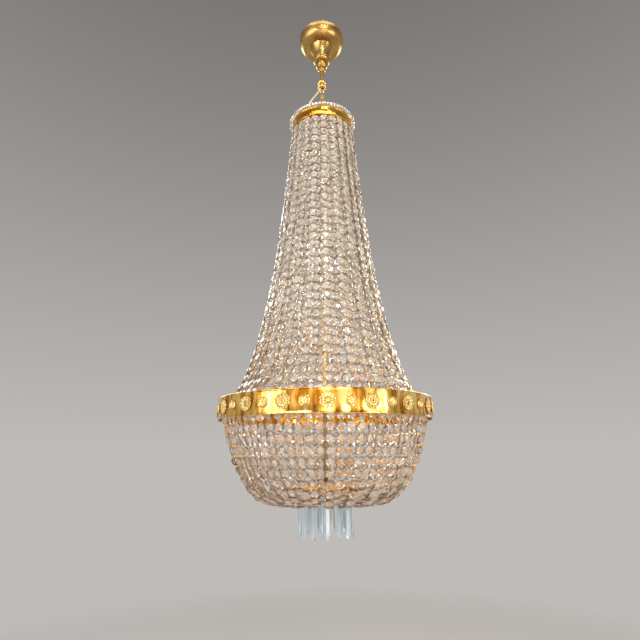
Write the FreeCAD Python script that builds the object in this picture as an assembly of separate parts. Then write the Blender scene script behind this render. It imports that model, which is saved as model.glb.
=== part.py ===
"""Crystal chandelier: a flared cone and a basket of octagon strings on a gilt band.

Millimetres, +Z up.  The origin is the middle of the ceiling face of the bracket,
so everything hangs below z = 0.
"""
import FreeCAD
import Part

import math
import os

Vector = FreeCAD.Vector
AXIS_X = Vector(1, 0, 0)
AXIS_Y = Vector(0, 1, 0)
AXIS_Z = Vector(0, 0, 1)
ORIGIN = Vector(0, 0, 0)

# ---------------------------------------------------------------- driving sizes
# Heights are drops below the ceiling, each to the named feature.
BAND_DROP = 1105.0              # middle of the decorated band
CROWN_DROP = 336.0              # underside of the crown hoop wall

# Clearances
TOUCH_GAP = 0.3                 # between pieces that rest on each other
HANG_GAP = 0.4                  # string end to the ring that it hooks into
SLIDE_FIT = 0.05                # radial, canopy collar on its stem
PRESS_GAP = 0.1                 # radial, hubs and nuts on a tube

# Ceiling bracket and stem
BRACKET_LENGTH = 110.0
BRACKET_WIDTH = 24.0
BRACKET_THICKNESS = 3.0
SCREW_SPACING = 80.0
SCREW_HOLE_RADIUS = 2.6
STEM_RADIUS = 5.0
STEM_BORE = 3.2
NUT_ACROSS_CORNERS = 18.0
NUT_HEIGHT = 6.0
TERMINAL_SIZE = (20.0, 14.0, 12.0)
TERMINAL_OFFSET = 12.0          # from the stem axis to the block's near end

# Canopy: a spun dish, a spun bell and a turned collar with a grub screw
DISH_RADIUS = 65.0
DISH_RIM = 7.0
DISH_DEPTH = 36.0
DISH_FLAT_RADIUS = 47.0
DISH_WALL = 1.0
BELL_TOP_RADIUS = 34.0
BELL_BOTTOM_RADIUS = 22.0
BELL_HEIGHT = 38.0
BELL_WALL = 1.2
BELL_WAIST = 2.0                # how far the flare draws in from a straight cone
CANOPY_HOLE_GAP = 1.5           # radial, stem through the dish and the bell
COLLAR_RADIUS = 24.0
COLLAR_HEIGHT = 46.0
KNOB_RADIUS = 17.0
COLLAR_TIP_RADIUS = 8.0
COLLAR_NECK_RADIUS = 13.0
COLLAR_GROOVE = 2.0             # height of the two straight necks
KNOB_CHAMFER = 4.0
GRUB_RADIUS = 2.0
GRUB_HEAD = 1.0                 # what stands out of the knob
CANOPY_TRAVEL = 30.0            # the canopy slides down this far for wiring
CANOPY_STOP_GAP = 3.4           # left above the hook's balls at the end of the travel

# Hook, link and bail
HOOK_BODY_HEIGHT = 30.0
HOOK_CORE_RADIUS = 7.5
HOOK_BALL_RADIUS = 4.6
HOOK_BALLS = 6
HOOK_BALL_CIRCLE = 8.2
HOOK_ROWS = (0.27, 0.70)        # places of the two rows, in plug heights from the top
WIRE_RADIUS = 1.5               # hook eye, link and bail eye
EYE_RADIUS = 5.0                # centreline of both eyes
EYE_SINK = 1.0                  # the hook's eye runs this far up into its plug
LINK_PITCH = 10.0               # between the hook's bar and the bail's bar
BAIL_LEG_RADIUS = 2.6
BAIL_SPREAD = 45.0
BAIL_FOOT_RADIUS = 5.0
BAIL_FOOT_HEIGHT = 4.0

# Crown
CROWN_RADIUS = 84.0
CROWN_HEIGHT = 24.0
CROWN_WALL = 1.5
CROWN_FLANGE_WIDTH = 14.0
CROWN_FLANGE_THICKNESS = 2.0
CROWN_LIP = 1.3
CROWN_ARMS = 4
CROWN_ARM_WIDTH = 12.0
CROWN_ARM_THICKNESS = 3.0
HUB_RADIUS = 16.0
BEAD_RADIUS = 4.6
BEAD_COUNT = 60
BEAD_SIDES = 8
BEAD_GIRDLE = 0.42              # half height of a bead's girdle, in bead radii

# Central tube
TUBE_RADIUS = 5.0
TUBE_BORE = 3.5
TUBE_ABOVE_SPIDER = 24.0

# Band
BAND_RADIUS = 246.0
BAND_HEIGHT = 44.0
BAND_WALL = 1.5
BAND_BEAD = 1.6                 # radius of the rolled rims
STRING_RING_WIDTH = 18.0
STRING_RING_THICKNESS = 4.0
BAND_ARMS = 6
BAND_ARM_WIDTH = 12.0

# Rosettes, alternating large and small round the band
ROSETTES_OF_EACH = 18
LARGE_PETALS = 10
LARGE_PETAL_RADIUS = 4.3
LARGE_PETAL_CIRCLE = 11.6
LARGE_EYE_RADIUS = 3.0
SMALL_ROSETTE_RADIUS = 10.5
ROSETTE_THICKNESS = 3.6
ROSETTE_PHASE = 1.2             # degrees, first large rosette from the front

# Crystal strings
STRINGS = 72
CRYSTAL_SIZE = 18.0             # octagon across flats
CRYSTAL_THICKNESS = 5.6
CRYSTAL_PITCH = 22.5
TURN_ROOM = 7.0                 # side room at which a crystal stands edge-on
STRING_NECK = 3.0
STRING_SIDE_GAP = 0.35          # from a string to the edge of its own sector
STRING_GROUPS = ("front", "rear_right", "rear_left")
STRETCH_CRYSTALS = 5            # a string is made in stretches of this many crystals
PIN_GAP = 0.3                   # between two stretches, where a pin joins them
PIN_WIDTH = 3.0
SLAT_TURN = 0.66                # sine of the turn above which crystals stand like slats
FACE_ON_TURN = 0.55             # and below which they hang flat in the string
CONE_TOP_RADIUS = 78.0
STRING_RADIUS_AT_BAND = 238.0
CONE_SAG = 60.0                 # catenary parameter of the cone strings
CONE_LEAD = 2.0
BASKET_SAG = 53.0
BASKET_LEAD = 11.5

# Lower ring, plate and prisms
LOWER_RING_RADIUS = 70.0
LOWER_RING_WALL = 1.5
LOWER_RING_HEIGHT = 12.0
LOWER_RING_DROP = 168.0         # middle of the ring below the band's middle
LOWER_PLATE_THICKNESS = 2.0
PLATE_INSET = 1.0               # the plate stands this far up inside the ring
PRISMS = 13
PRISM_CIRCLE = 58.0
PRISM_LENGTH = 84.0
PRISM_WIDTH = 15.0
PRISM_DEPTH = 8.0
PRISM_TAB_THICKNESS = 2.0
PRISM_TAB_LENGTH = 9.0
PRISM_TAB_WIDTH = 7.0
PRISM_HOLE_RADIUS = 1.5
PRISM_HOLE_MARGIN = 3.2
PRISM_TIP_LENGTH = 9.0
PRISM_TURNS = (4, 31, -24, 12, -33, 20, 34, -10, 26, -18, -5, 33, -28)
STAPLE_RADIUS = 1.65
STAPLE_DROP = 5.0
STAPLE_WIDTH = 9.0
STAPLE_LEG = 2.0
LOOP_WIRE_RADIUS = 0.5
LOOP_FIT = 0.1                  # loop round its staple bar, radial
LOOP_PITCH = 8.0
FINIAL_RADIUS = 9.0
FINIAL_HEIGHT = 12.0

# Lamps
LAMPS = 6
LAMP_CIRCLE = 105.0
HOLDER_RADIUS = 13.0
HOLDER_HEIGHT = 40.0
HOLDER_CUP_RADIUS = 18.0
HOLDER_CUP_HEIGHT = 8.0
HOLDER_WALL = 1.5
BULB_RADIUS = 17.5
BULB_LENGTH = 95.0
BULB_CAP_RADIUS = 7.0
BULB_TIP_RADIUS = 0.8
BULB_BELLY = 0.4                # height of the widest place, in envelope lengths

# Supply cable, from the hook to the side of the central tube
CABLE_RADIUS = 2.5
CABLE_ROUTE = (
    (-4.0, -7.0, -187.5),
    (-15.0, -20.5, -218.5),
    (-27.0, -36.0, -249.5),
    (-35.5, -47.0, -274.0),
    (-32.5, -43.0, -301.0),
    (-19.3, -25.5, -319.0),
    (-3.3, -4.3, -319.0),
)

# ---------------------------------------------------------------- derived places
BAND_Z = -BAND_DROP
CROWN_Z = -CROWN_DROP
CROWN_TOP_Z = CROWN_Z + CROWN_HEIGHT
FLANGE_Z = CROWN_Z - CROWN_FLANGE_THICKNESS
SPIDER_TOP_Z = CROWN_Z + CROWN_ARM_THICKNESS
BAND_INNER = BAND_RADIUS - BAND_WALL
STRING_RING_OUTER = BAND_INNER - PRESS_GAP
STRING_RING_INNER = STRING_RING_OUTER - STRING_RING_WIDTH
RING_TOP_Z = BAND_Z + STRING_RING_THICKNESS / 2
RING_BOTTOM_Z = BAND_Z - STRING_RING_THICKNESS / 2
LOWER_RING_Z = BAND_Z - LOWER_RING_DROP
LOWER_RING_BOTTOM_Z = LOWER_RING_Z - LOWER_RING_HEIGHT / 2
PLATE_BOTTOM_Z = LOWER_RING_BOTTOM_Z + PLATE_INSET
PLATE_TOP_Z = PLATE_BOTTOM_Z + LOWER_PLATE_THICKNESS
STAPLE_Z = PLATE_BOTTOM_Z - STAPLE_DROP
LOOP_RADIUS = STAPLE_RADIUS + LOOP_FIT + LOOP_WIRE_RADIUS
PRISM_HOLE_Z = STAPLE_Z - LOOP_PITCH - LOOP_RADIUS
BELL_TOP_Z = -DISH_DEPTH - TOUCH_GAP
COLLAR_TOP_Z = BELL_TOP_Z - BELL_HEIGHT - TOUCH_GAP
COLLAR_BOTTOM_Z = COLLAR_TOP_Z - COLLAR_HEIGHT
HOOK_TOP_Z = COLLAR_BOTTOM_Z - CANOPY_TRAVEL - CANOPY_STOP_GAP
HOOK_EYE_Z = HOOK_TOP_Z - HOOK_BODY_HEIGHT + EYE_SINK - EYE_RADIUS
HOOK_BAR_Z = HOOK_EYE_Z - EYE_RADIUS
BAIL_BAR_Z = HOOK_BAR_Z - LINK_PITCH
LINK_RADIUS = 2 * WIRE_RADIUS + TOUCH_GAP
BAIL_EYE_Z = BAIL_BAR_Z - EYE_RADIUS
SECTOR = 360.0 / STRINGS


# ---------------------------------------------------------------- small helpers
def at(r, z):
    """A point in the radial plane y = 0."""
    return Vector(r, 0, z)


def polygon_face(points):
    return Part.Face(Part.makePolygon(list(points) + [points[0]]))


def revolve(face):
    return face.revolve(ORIGIN, AXIS_Z, 360)


def turned(points):
    """A solid of revolution about Z from (radius, height) corners."""
    return revolve(polygon_face([at(r, z) for r, z in points]))


def washer(outer, inner, bottom, top):
    return turned([(inner, bottom), (outer, bottom), (outer, top), (inner, top)])


def cylinder(radius, bottom, height, x=0.0, y=0.0):
    return Part.makeCylinder(radius, height, Vector(x, y, bottom), AXIS_Z)


def turned_about_z(shape, degrees):
    copy = shape.copy()
    copy.rotate(ORIGIN, AXIS_Z, degrees)
    return copy


def round_z(shape, count, first=0.0):
    """Copies of a shape evenly spaced about Z."""
    return [turned_about_z(shape, first + i * 360.0 / count) for i in range(count)]


def fused(shapes):
    body = shapes[0].multiFuse(shapes[1:])
    return body.removeSplitter()


def hexagon_nut(bottom, height, bore, across=NUT_ACROSS_CORNERS):
    corners = [Vector(across / 2 * math.cos(math.radians(60 * i)),
                      across / 2 * math.sin(math.radians(60 * i)), bottom)
               for i in range(6)]
    blank = polygon_face(corners).extrude(Vector(0, 0, height))
    return blank.cut(cylinder(bore, bottom, height))


def wire_ring(radius, wire, centre, normal):
    return Part.makeTorus(radius, wire, centre, normal)


def stadium_link(radius, pitch, wire, top, normal):
    """An oblong wire link: two half circles joined by straight sides.

    top is the centre of the upper half circle, normal the link's own axis.
    """
    side = normal.cross(AXIS_Z)
    low = top - AXIS_Z * pitch
    left, right = side * -radius, side * radius
    path = Part.Wire([
        Part.Arc(top + left, top + AXIS_Z * radius, top + right).toShape(),
        Part.LineSegment(top + right, low + right).toShape(),
        Part.Arc(low + right, low - AXIS_Z * radius, low + left).toShape(),
        Part.LineSegment(low + left, top + left).toShape()])
    section = Part.Wire(Part.Circle(low + left, AXIS_Z, wire).toShape())
    return path.makePipeShell([section], True, False)


# ---------------------------------------------------------------- ceiling pieces
def ceiling_bracket():
    bar = Part.makeBox(BRACKET_LENGTH, BRACKET_WIDTH, BRACKET_THICKNESS,
                       Vector(-BRACKET_LENGTH / 2, -BRACKET_WIDTH / 2, -BRACKET_THICKNESS))
    holes = [cylinder(SCREW_HOLE_RADIUS, -BRACKET_THICKNESS, BRACKET_THICKNESS, x)
             for x in (-SCREW_SPACING / 2, SCREW_SPACING / 2)]
    holes.append(cylinder(STEM_RADIUS + PRESS_GAP, -BRACKET_THICKNESS, BRACKET_THICKNESS))
    return bar.cut(Part.makeCompound(holes))


def bracket_nut():
    return hexagon_nut(-BRACKET_THICKNESS - NUT_HEIGHT, NUT_HEIGHT, STEM_RADIUS + PRESS_GAP)


def terminal_block():
    length, width, height = TERMINAL_SIZE
    corner = Vector(TERMINAL_OFFSET, -width / 2, -BRACKET_THICKNESS - TOUCH_GAP - height)
    return Part.makeBox(length, width, height, corner)


def suspension_stem():
    top = -TOUCH_GAP
    return washer(STEM_RADIUS, STEM_BORE, HOOK_TOP_Z, top)


def stem_hook():
    """A turned plug with two rows of balls, and the eye that the link hangs in."""
    bottom = HOOK_TOP_Z - HOOK_BODY_HEIGHT
    core = cylinder(HOOK_CORE_RADIUS, bottom, HOOK_BODY_HEIGHT - TOUCH_GAP)
    shapes = [core]
    rows = [HOOK_TOP_Z - HOOK_BODY_HEIGHT * share for share in HOOK_ROWS]
    for row, height in enumerate(rows):
        ball = Part.makeSphere(HOOK_BALL_RADIUS, Vector(HOOK_BALL_CIRCLE, 0, height))
        shapes += round_z(ball, HOOK_BALLS, row * 180.0 / HOOK_BALLS)
    shapes.append(wire_ring(EYE_RADIUS, WIRE_RADIUS, Vector(0, 0, HOOK_EYE_Z), AXIS_Y))
    return fused(shapes)


# ---------------------------------------------------------------- canopy
def canopy_dish():
    """Spun dish: a short upright rim, then a quarter round in to the flat."""
    hole = STEM_RADIUS + CANOPY_HOLE_GAP
    top, rim, flat = -TOUCH_GAP, -DISH_RIM, -DISH_DEPTH
    lean = math.sqrt(0.5)

    def skin(inset):
        start = at(DISH_RADIUS - inset, rim)
        end = at(DISH_FLAT_RADIUS, flat + inset)
        across = start.x - end.x
        down = start.z - end.z
        middle = at(end.x + across * lean, start.z - down * lean)
        return start, middle, end

    outer = skin(0.0)
    inner = skin(DISH_WALL)
    edges = [
        Part.LineSegment(at(DISH_RADIUS, top), outer[0]).toShape(),
        Part.Arc(*outer).toShape(),
        Part.LineSegment(outer[2], at(hole, flat)).toShape(),
        Part.LineSegment(at(hole, flat), at(hole, flat + DISH_WALL)).toShape(),
        Part.LineSegment(at(hole, flat + DISH_WALL), inner[2]).toShape(),
        Part.Arc(inner[2], inner[1], inner[0]).toShape(),
        Part.LineSegment(inner[0], at(DISH_RADIUS - DISH_WALL, top)).toShape(),
        Part.LineSegment(at(DISH_RADIUS - DISH_WALL, top), at(DISH_RADIUS, top)).toShape()]
    return revolve(Part.Face(Part.Wire(edges)))


def canopy_bell():
    """Spun bell with a hollow flare, closed at the foot but for the stem hole."""
    hole = STEM_RADIUS + CANOPY_HOLE_GAP
    foot = BELL_TOP_Z - BELL_HEIGHT
    waist = at((BELL_TOP_RADIUS + BELL_BOTTOM_RADIUS) / 2 - BELL_WAIST, (BELL_TOP_Z + foot) / 2)
    inward = at(-BELL_WALL, 0)
    outer = (at(BELL_TOP_RADIUS, BELL_TOP_Z), waist, at(BELL_BOTTOM_RADIUS, foot))
    inner = (outer[0] + inward, waist + inward, at(BELL_BOTTOM_RADIUS - BELL_WALL, foot + BELL_WALL))
    edges = [
        Part.Arc(*outer).toShape(),
        Part.LineSegment(outer[2], at(hole, foot)).toShape(),
        Part.LineSegment(at(hole, foot), at(hole, foot + BELL_WALL)).toShape(),
        Part.LineSegment(at(hole, foot + BELL_WALL), inner[2]).toShape(),
        Part.Arc(inner[2], inner[1], inner[0]).toShape(),
        Part.LineSegment(inner[0], outer[0]).toShape()]
    return revolve(Part.Face(Part.Wire(edges)))


def grub_height():
    return COLLAR_TOP_Z - COLLAR_HEIGHT * 0.55


def grub_cylinder(radius, start, end):
    return Part.makeCylinder(radius, end - start, Vector(start, 0, grub_height()), AXIS_X)


def canopy_collar():
    """Turned collar: a broad bead, a neck, a knob and a tapered tip."""
    bore = STEM_RADIUS + SLIDE_FIT
    bead = COLLAR_HEIGHT * 0.30
    knob = COLLAR_HEIGHT * 0.72
    neck = COLLAR_NECK_RADIUS
    shoulder = bead + COLLAR_GROOVE
    profile = [
        (bore, 0.0), (BELL_BOTTOM_RADIUS, 0.0), (COLLAR_RADIUS, bead * 0.25),
        (COLLAR_RADIUS, bead * 0.7), (neck, bead), (neck, shoulder),
        (KNOB_RADIUS, shoulder + KNOB_CHAMFER), (KNOB_RADIUS, knob - KNOB_CHAMFER), (neck, knob),
        (neck, knob + COLLAR_GROOVE), (COLLAR_TIP_RADIUS, COLLAR_HEIGHT), (bore, COLLAR_HEIGHT)]
    body = turned([(r, COLLAR_TOP_Z - depth) for r, depth in profile])
    return body.cut(grub_cylinder(GRUB_RADIUS + PRESS_GAP, 0.0, COLLAR_RADIUS))


def collar_screw():
    return grub_cylinder(GRUB_RADIUS, STEM_RADIUS + SLIDE_FIT + TOUCH_GAP, KNOB_RADIUS + GRUB_HEAD)


# ---------------------------------------------------------------- hanging gear
def hanging_link():
    return stadium_link(LINK_RADIUS, LINK_PITCH, WIRE_RADIUS, Vector(0, 0, HOOK_BAR_Z), AXIS_X)


def bail_leg(side):
    top = Vector(0, 0, BAIL_EYE_Z - EYE_RADIUS)
    foot = Vector(side * BAIL_SPREAD, 0, SPIDER_TOP_Z + BAIL_FOOT_HEIGHT / 2)
    rod = foot - top
    return Part.makeCylinder(BAIL_LEG_RADIUS, rod.Length, top, rod)


def crown_bail():
    """An inverted V of rod: the eye, two legs and the feet on the spider's arms."""
    foot_z = SPIDER_TOP_Z + TOUCH_GAP
    shapes = [wire_ring(EYE_RADIUS, WIRE_RADIUS, Vector(0, 0, BAIL_EYE_Z), AXIS_Y)]
    for side in (-1, 1):
        shapes.append(bail_leg(side))
        shapes.append(cylinder(BAIL_FOOT_RADIUS, foot_z, BAIL_FOOT_HEIGHT, side * BAIL_SPREAD))
    floor = Part.makeBox(4 * BAIL_SPREAD, 4 * BAIL_SPREAD, BAIL_SPREAD,
                         Vector(-2 * BAIL_SPREAD, -2 * BAIL_SPREAD, foot_z - BAIL_SPREAD))
    return fused(shapes).cut(floor)


# ---------------------------------------------------------------- crown
def crown_hoop():
    """Upright gilt hoop with a rolled foot and an inward flange for the strings."""
    wall = washer(CROWN_RADIUS, CROWN_RADIUS - CROWN_WALL, CROWN_Z, CROWN_TOP_Z)
    flange = washer(CROWN_RADIUS, CROWN_RADIUS - CROWN_FLANGE_WIDTH, FLANGE_Z, CROWN_Z)
    lips = [wire_ring(CROWN_RADIUS - CROWN_WALL / 2, CROWN_LIP, Vector(0, 0, z), AXIS_Z)
            for z in (CROWN_Z - CROWN_FLANGE_THICKNESS / 2, CROWN_TOP_Z)]
    return fused([wall, flange] + lips)


def armed_hub(arms, arm_width, thickness, bottom, reach):
    """A flat hub on the central tube with square bars out to a ring."""
    hub = cylinder(HUB_RADIUS, bottom, thickness)
    arm = Part.makeBox(reach + arm_width, arm_width, thickness, Vector(0, -arm_width / 2, bottom))
    star = fused([hub] + round_z(arm, arms))
    star = star.common(cylinder(reach, bottom, thickness))
    return star.cut(cylinder(TUBE_RADIUS + PRESS_GAP, bottom, thickness))


def crown_spider():
    reach = CROWN_RADIUS - CROWN_WALL - CROWN_LIP
    return armed_hub(CROWN_ARMS, CROWN_ARM_WIDTH, CROWN_ARM_THICKNESS, CROWN_Z, reach)


def crown_bead():
    """One small cut bead, its threading axis along Y, beside the top of the hoop."""
    girdle = BEAD_GIRDLE * BEAD_RADIUS
    table = BEAD_RADIUS * 0.5
    half = BEAD_RADIUS * math.cos(math.pi / BEAD_COUNT)
    sections = []
    for radius, y in ((table, -half), (BEAD_RADIUS, -girdle), (BEAD_RADIUS, girdle), (table, half)):
        corners = [Vector(radius * math.cos(2 * math.pi * (i + 0.5) / BEAD_SIDES), y,
                          radius * math.sin(2 * math.pi * (i + 0.5) / BEAD_SIDES))
                   for i in range(BEAD_SIDES)]
        sections.append(Part.makePolygon(corners + [corners[0]]))
    bead = Part.makeLoft(sections, True, True)
    bead.translate(Vector(bead_circle(), 0, CROWN_TOP_Z + BEAD_RADIUS))
    return bead


def bead_circle():
    """Radius at which the beads just fit round, side by side."""
    return (BEAD_RADIUS + TOUCH_GAP / 2) / math.tan(math.pi / BEAD_COUNT)


def crown_beads():
    return Part.makeCompound(round_z(crown_bead(), BEAD_COUNT))


# ---------------------------------------------------------------- central tube
def central_tube():
    bottom = PLATE_BOTTOM_Z - FINIAL_HEIGHT / 2
    tube = washer(TUBE_RADIUS, TUBE_BORE, bottom, SPIDER_TOP_Z + TUBE_ABOVE_SPIDER)
    return tube.cut(cable_entry())


def cable_entry():
    """The hole in the tube's side that the cable points into."""
    x, y, z = CABLE_ROUTE[-1]
    return Part.makeCylinder(CABLE_RADIUS, TUBE_RADIUS * 2, Vector(0, 0, z), Vector(x, y, 0))


def tube_nuts():
    bore = TUBE_RADIUS + PRESS_GAP
    bottoms = (SPIDER_TOP_Z, RING_TOP_Z, RING_BOTTOM_Z - NUT_HEIGHT, PLATE_TOP_Z)
    return Part.makeCompound([hexagon_nut(z, NUT_HEIGHT, bore) for z in bottoms])


def finial():
    """The turned nut that closes the tube under the lower plate."""
    third = FINIAL_HEIGHT / 3
    foot, neck = FINIAL_RADIUS - third * 1.25, FINIAL_RADIUS - third * 0.75
    profile = [(0.0, 0.0), (foot, 0.0), (FINIAL_RADIUS, third), (FINIAL_RADIUS, 2 * third),
               (neck, FINIAL_HEIGHT), (0.0, FINIAL_HEIGHT)]
    bottom = PLATE_BOTTOM_Z - FINIAL_HEIGHT
    body = turned([(r, bottom + z) for r, z in profile])
    return body.cut(cylinder(TUBE_RADIUS + PRESS_GAP, bottom + FINIAL_HEIGHT / 2, FINIAL_HEIGHT))


# ---------------------------------------------------------------- band
def band_hoop():
    low, high = BAND_Z - BAND_HEIGHT / 2, BAND_Z + BAND_HEIGHT / 2
    wall = washer(BAND_RADIUS, BAND_INNER, low, high)
    rims = [wire_ring(BAND_RADIUS - BAND_WALL / 2, BAND_BEAD, Vector(0, 0, z), AXIS_Z)
            for z in (low, high)]
    return fused([wall] + rims)


def string_ring():
    return washer(STRING_RING_OUTER, STRING_RING_INNER, RING_BOTTOM_Z, RING_TOP_Z)


def band_spider():
    return armed_hub(BAND_ARMS, BAND_ARM_WIDTH, STRING_RING_THICKNESS, RING_BOTTOM_Z,
                     STRING_RING_INNER - PRESS_GAP)


def onto_band(rosette, index, phase):
    """Turn a rosette made about Z to face out, and set it round the band.

    Azimuths count from the front, which looks along -Y.
    """
    piece = rosette.copy()
    piece.rotate(ORIGIN, AXIS_Y, 90)
    piece.translate(Vector(BAND_RADIUS + TOUCH_GAP, 0, BAND_Z))
    degrees = ROSETTE_PHASE + phase + index * 360.0 / ROSETTES_OF_EACH
    return turned_about_z(piece, degrees - 90.0)


def large_rosette():
    petal = cylinder(LARGE_PETAL_RADIUS, 0, ROSETTE_THICKNESS, LARGE_PETAL_CIRCLE)
    heart = cylinder(LARGE_PETAL_CIRCLE, 0, ROSETTE_THICKNESS)
    flower = fused([heart] + round_z(petal, LARGE_PETALS))
    return flower.cut(cylinder(LARGE_EYE_RADIUS, 0, ROSETTE_THICKNESS))


def small_rosette():
    rim = ROSETTE_THICKNESS * 0.55
    r = SMALL_ROSETTE_RADIUS
    return turned([(0, 0), (r, 0), (r, rim), (r * 0.6, ROSETTE_THICKNESS), (0, ROSETTE_THICKNESS)])


def rosettes(one, phase):
    return Part.makeCompound([onto_band(one, i, phase) for i in range(ROSETTES_OF_EACH)])


# ---------------------------------------------------------------- crystal strings
class Catenary:
    """The hanging line of a string between two points of the radial plane."""

    def __init__(self, first, last, sag):
        (r1, z1), (r2, z2) = first, last
        self.sag = sag
        lean = (z2 - z1) / (2 * sag * math.sinh((r2 - r1) / (2 * sag)))
        self.low_r = (r1 + r2) / 2 - sag * math.asinh(lean)
        self.base = z1 - sag * math.cosh((r1 - self.low_r) / sag)
        self.start = self.arc(r1)
        self.length = abs(self.arc(r2) - self.start)
        self.way = 1 if r2 > r1 else -1

    def arc(self, r):
        return self.sag * math.sinh((r - self.low_r) / self.sag)

    def place(self, run, side):
        """The point a run along the line and a side step square to it."""
        u = math.asinh((self.start + self.way * run) / self.sag)
        r = self.low_r + self.sag * u - side * math.tanh(u)
        z = self.base + self.sag * math.cosh(u) + side / math.cosh(u)
        return at(r, z)


def crystal_turn(radius):
    """The sine of a crystal's turn out of the face of the string, up to 1 for edge-on.

    Strings draw together towards the axis, so their crystals turn like slats there.
    """
    room = 2 * math.pi * radius / STRINGS
    return min(1.0, TURN_ROOM / room)


def pin_openings(line, joint):
    """The two open corners beside a pin, where the octagons above and below draw in."""
    spot = line.place(joint, 0.0)
    out = line.place(joint, CRYSTAL_SIZE) - spot
    along = AXIS_Y.cross(out).normalize()
    near = (CRYSTAL_PITCH - CRYSTAL_SIZE) / 2
    far = CRYSTAL_PITCH / 2 - CRYSTAL_SIZE / 2 * math.tan(math.pi / 8)
    corners = [(-far, CRYSTAL_SIZE / 2), (-near, PIN_WIDTH / 2), (near, PIN_WIDTH / 2),
               (far, CRYSTAL_SIZE / 2)]
    openings = []
    for side in (-1, 1):
        outline = [spot - out + along * run + AXIS_Y * (side * y) for run, y in corners]
        openings.append(polygon_face(outline).extrude(out * 2))
    return openings


def stretch_solid(line, stations, wedge):
    """A stretch of a string between two pins, cut to the string's own sector."""
    outer = [line.place(run, half) for run, half in stations]
    inner = [line.place(run, -half) for run, half in reversed(stations)]
    ribbon = polygon_face(outer + inner)
    ribbon.translate(Vector(0, -CRYSTAL_SIZE / 2, 0))
    return ribbon.extrude(Vector(0, CRYSTAL_SIZE, 0)).common(wedge)


def crystal_stations(line, joint):
    """Runs and half depths along one crystal, from its upper joint on."""
    turn = crystal_turn(line.place(joint + CRYSTAL_PITCH / 2, 0.0).x)
    if turn < FACE_ON_TURN:
        return [(joint, CRYSTAL_THICKNESS / 2)]
    flat = CRYSTAL_SIZE / 2 * math.tan(math.pi / 8)
    middle, depth = joint + CRYSTAL_PITCH / 2, CRYSTAL_SIZE / 2 * turn
    return [(joint, STRING_NECK / 2), (middle - flat, depth), (middle + flat, depth)]


def string_solids(line, lead):
    """One string of crystals with its end hooks, in stretches that meet at a pin."""
    count = int((line.length - lead - STRING_NECK) // CRYSTAL_PITCH)
    neck = STRING_NECK / 2
    joints = [lead + i * CRYSTAL_PITCH for i in range(count + 1)]
    slats, faces = sector_wedge(0.0, CRYSTAL_THICKNESS / TURN_ROOM), sector_wedge(STRING_SIDE_GAP, 1)
    solids = []
    for first in range(0, count, STRETCH_CRYSTALS):
        last = min(first + STRETCH_CRYSTALS, count)
        start = joints[first] + PIN_GAP / 2 if first else 0.0
        end = joints[last] - PIN_GAP / 2 if last < count else line.length
        stations = [(start, neck)]
        for joint in joints[first:last]:
            stations += [spot for spot in crystal_stations(line, joint) if spot[0] > start]
        if joints[last] < end:
            stations.append((joints[last], neck))
        middle = line.place((start + end) / 2, 0.0).x
        if crystal_turn(middle) > SLAT_TURN:
            solids.append(stretch_solid(line, stations + [(end, neck)], slats))
        else:
            openings = [o for joint in joints[first:last + 1] for o in pin_openings(line, joint)]
            stretch = stretch_solid(line, stations + [(end, neck)], faces)
            solids.append(stretch.cut(openings))
    return solids


def sector_wedge(side_gap, share):
    """The slice of space that one string may fill: a share of 5 degrees, less a side gap."""
    half = math.radians(SECTOR * share / 2)
    near, far = side_gap / math.sin(half), BAND_RADIUS
    width = (far - near) * math.tan(half)
    tall = BAND_DROP
    corners = [Vector(near, 0, -2 * tall), Vector(far, -width, -2 * tall),
               Vector(far, width, -2 * tall)]
    return polygon_face(corners).extrude(Vector(0, 0, 2 * tall))


def cone_line():
    top = (CONE_TOP_RADIUS, FLANGE_Z - HANG_GAP)
    foot = (STRING_RADIUS_AT_BAND, RING_TOP_Z + HANG_GAP + STRING_NECK / 2)
    return Catenary(top, foot, CONE_SAG)


def basket_line():
    top = (STRING_RADIUS_AT_BAND, RING_BOTTOM_Z - HANG_GAP)
    end = (LOWER_RING_RADIUS + HANG_GAP + STRING_NECK / 2, LOWER_RING_Z)
    return Catenary(top, end, BASKET_SAG)


def string_group(solids, group):
    """A third of the ring of strings; the first third is centred on the front."""
    each = STRINGS // len(STRING_GROUPS)
    first = -90.0 + SECTOR / 2 + (group - 0.5) * each * SECTOR
    return Part.makeCompound([turned_about_z(solid, first + i * SECTOR)
                              for i in range(each) for solid in solids])


# ---------------------------------------------------------------- lower ring and prisms
def lower_ring():
    top = LOWER_RING_Z + LOWER_RING_HEIGHT / 2
    inner = LOWER_RING_RADIUS - LOWER_RING_WALL
    return washer(LOWER_RING_RADIUS, inner, LOWER_RING_BOTTOM_Z, top)


def staple():
    """A bar on two legs under the plate, square to the radius, for one prism's loop."""
    half = STAPLE_WIDTH / 2
    bar = Part.makeCylinder(STAPLE_RADIUS, STAPLE_WIDTH, Vector(PRISM_CIRCLE, -half, STAPLE_Z), AXIS_Y)
    legs = [Part.makeBox(2 * STAPLE_RADIUS, STAPLE_LEG, STAPLE_DROP + LOWER_PLATE_THICKNESS / 2,
                         Vector(PRISM_CIRCLE - STAPLE_RADIUS, y, STAPLE_Z))
            for y in (-half, half - STAPLE_LEG)]
    return fused([bar] + legs)


def prism_angle(index):
    return -90.0 + index * 360.0 / PRISMS


def lower_plate():
    outer = LOWER_RING_RADIUS - LOWER_RING_WALL - PRESS_GAP
    disc = washer(outer, TUBE_RADIUS + PRESS_GAP, PLATE_BOTTOM_Z, PLATE_TOP_Z)
    return fused([disc] + [turned_about_z(staple(), prism_angle(i)) for i in range(PRISMS)])


def prism_loop(index):
    loop = stadium_link(LOOP_RADIUS, LOOP_PITCH, LOOP_WIRE_RADIUS,
                        Vector(PRISM_CIRCLE, 0, STAPLE_Z), AXIS_Y)
    return turned_about_z(loop, prism_angle(index))


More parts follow.
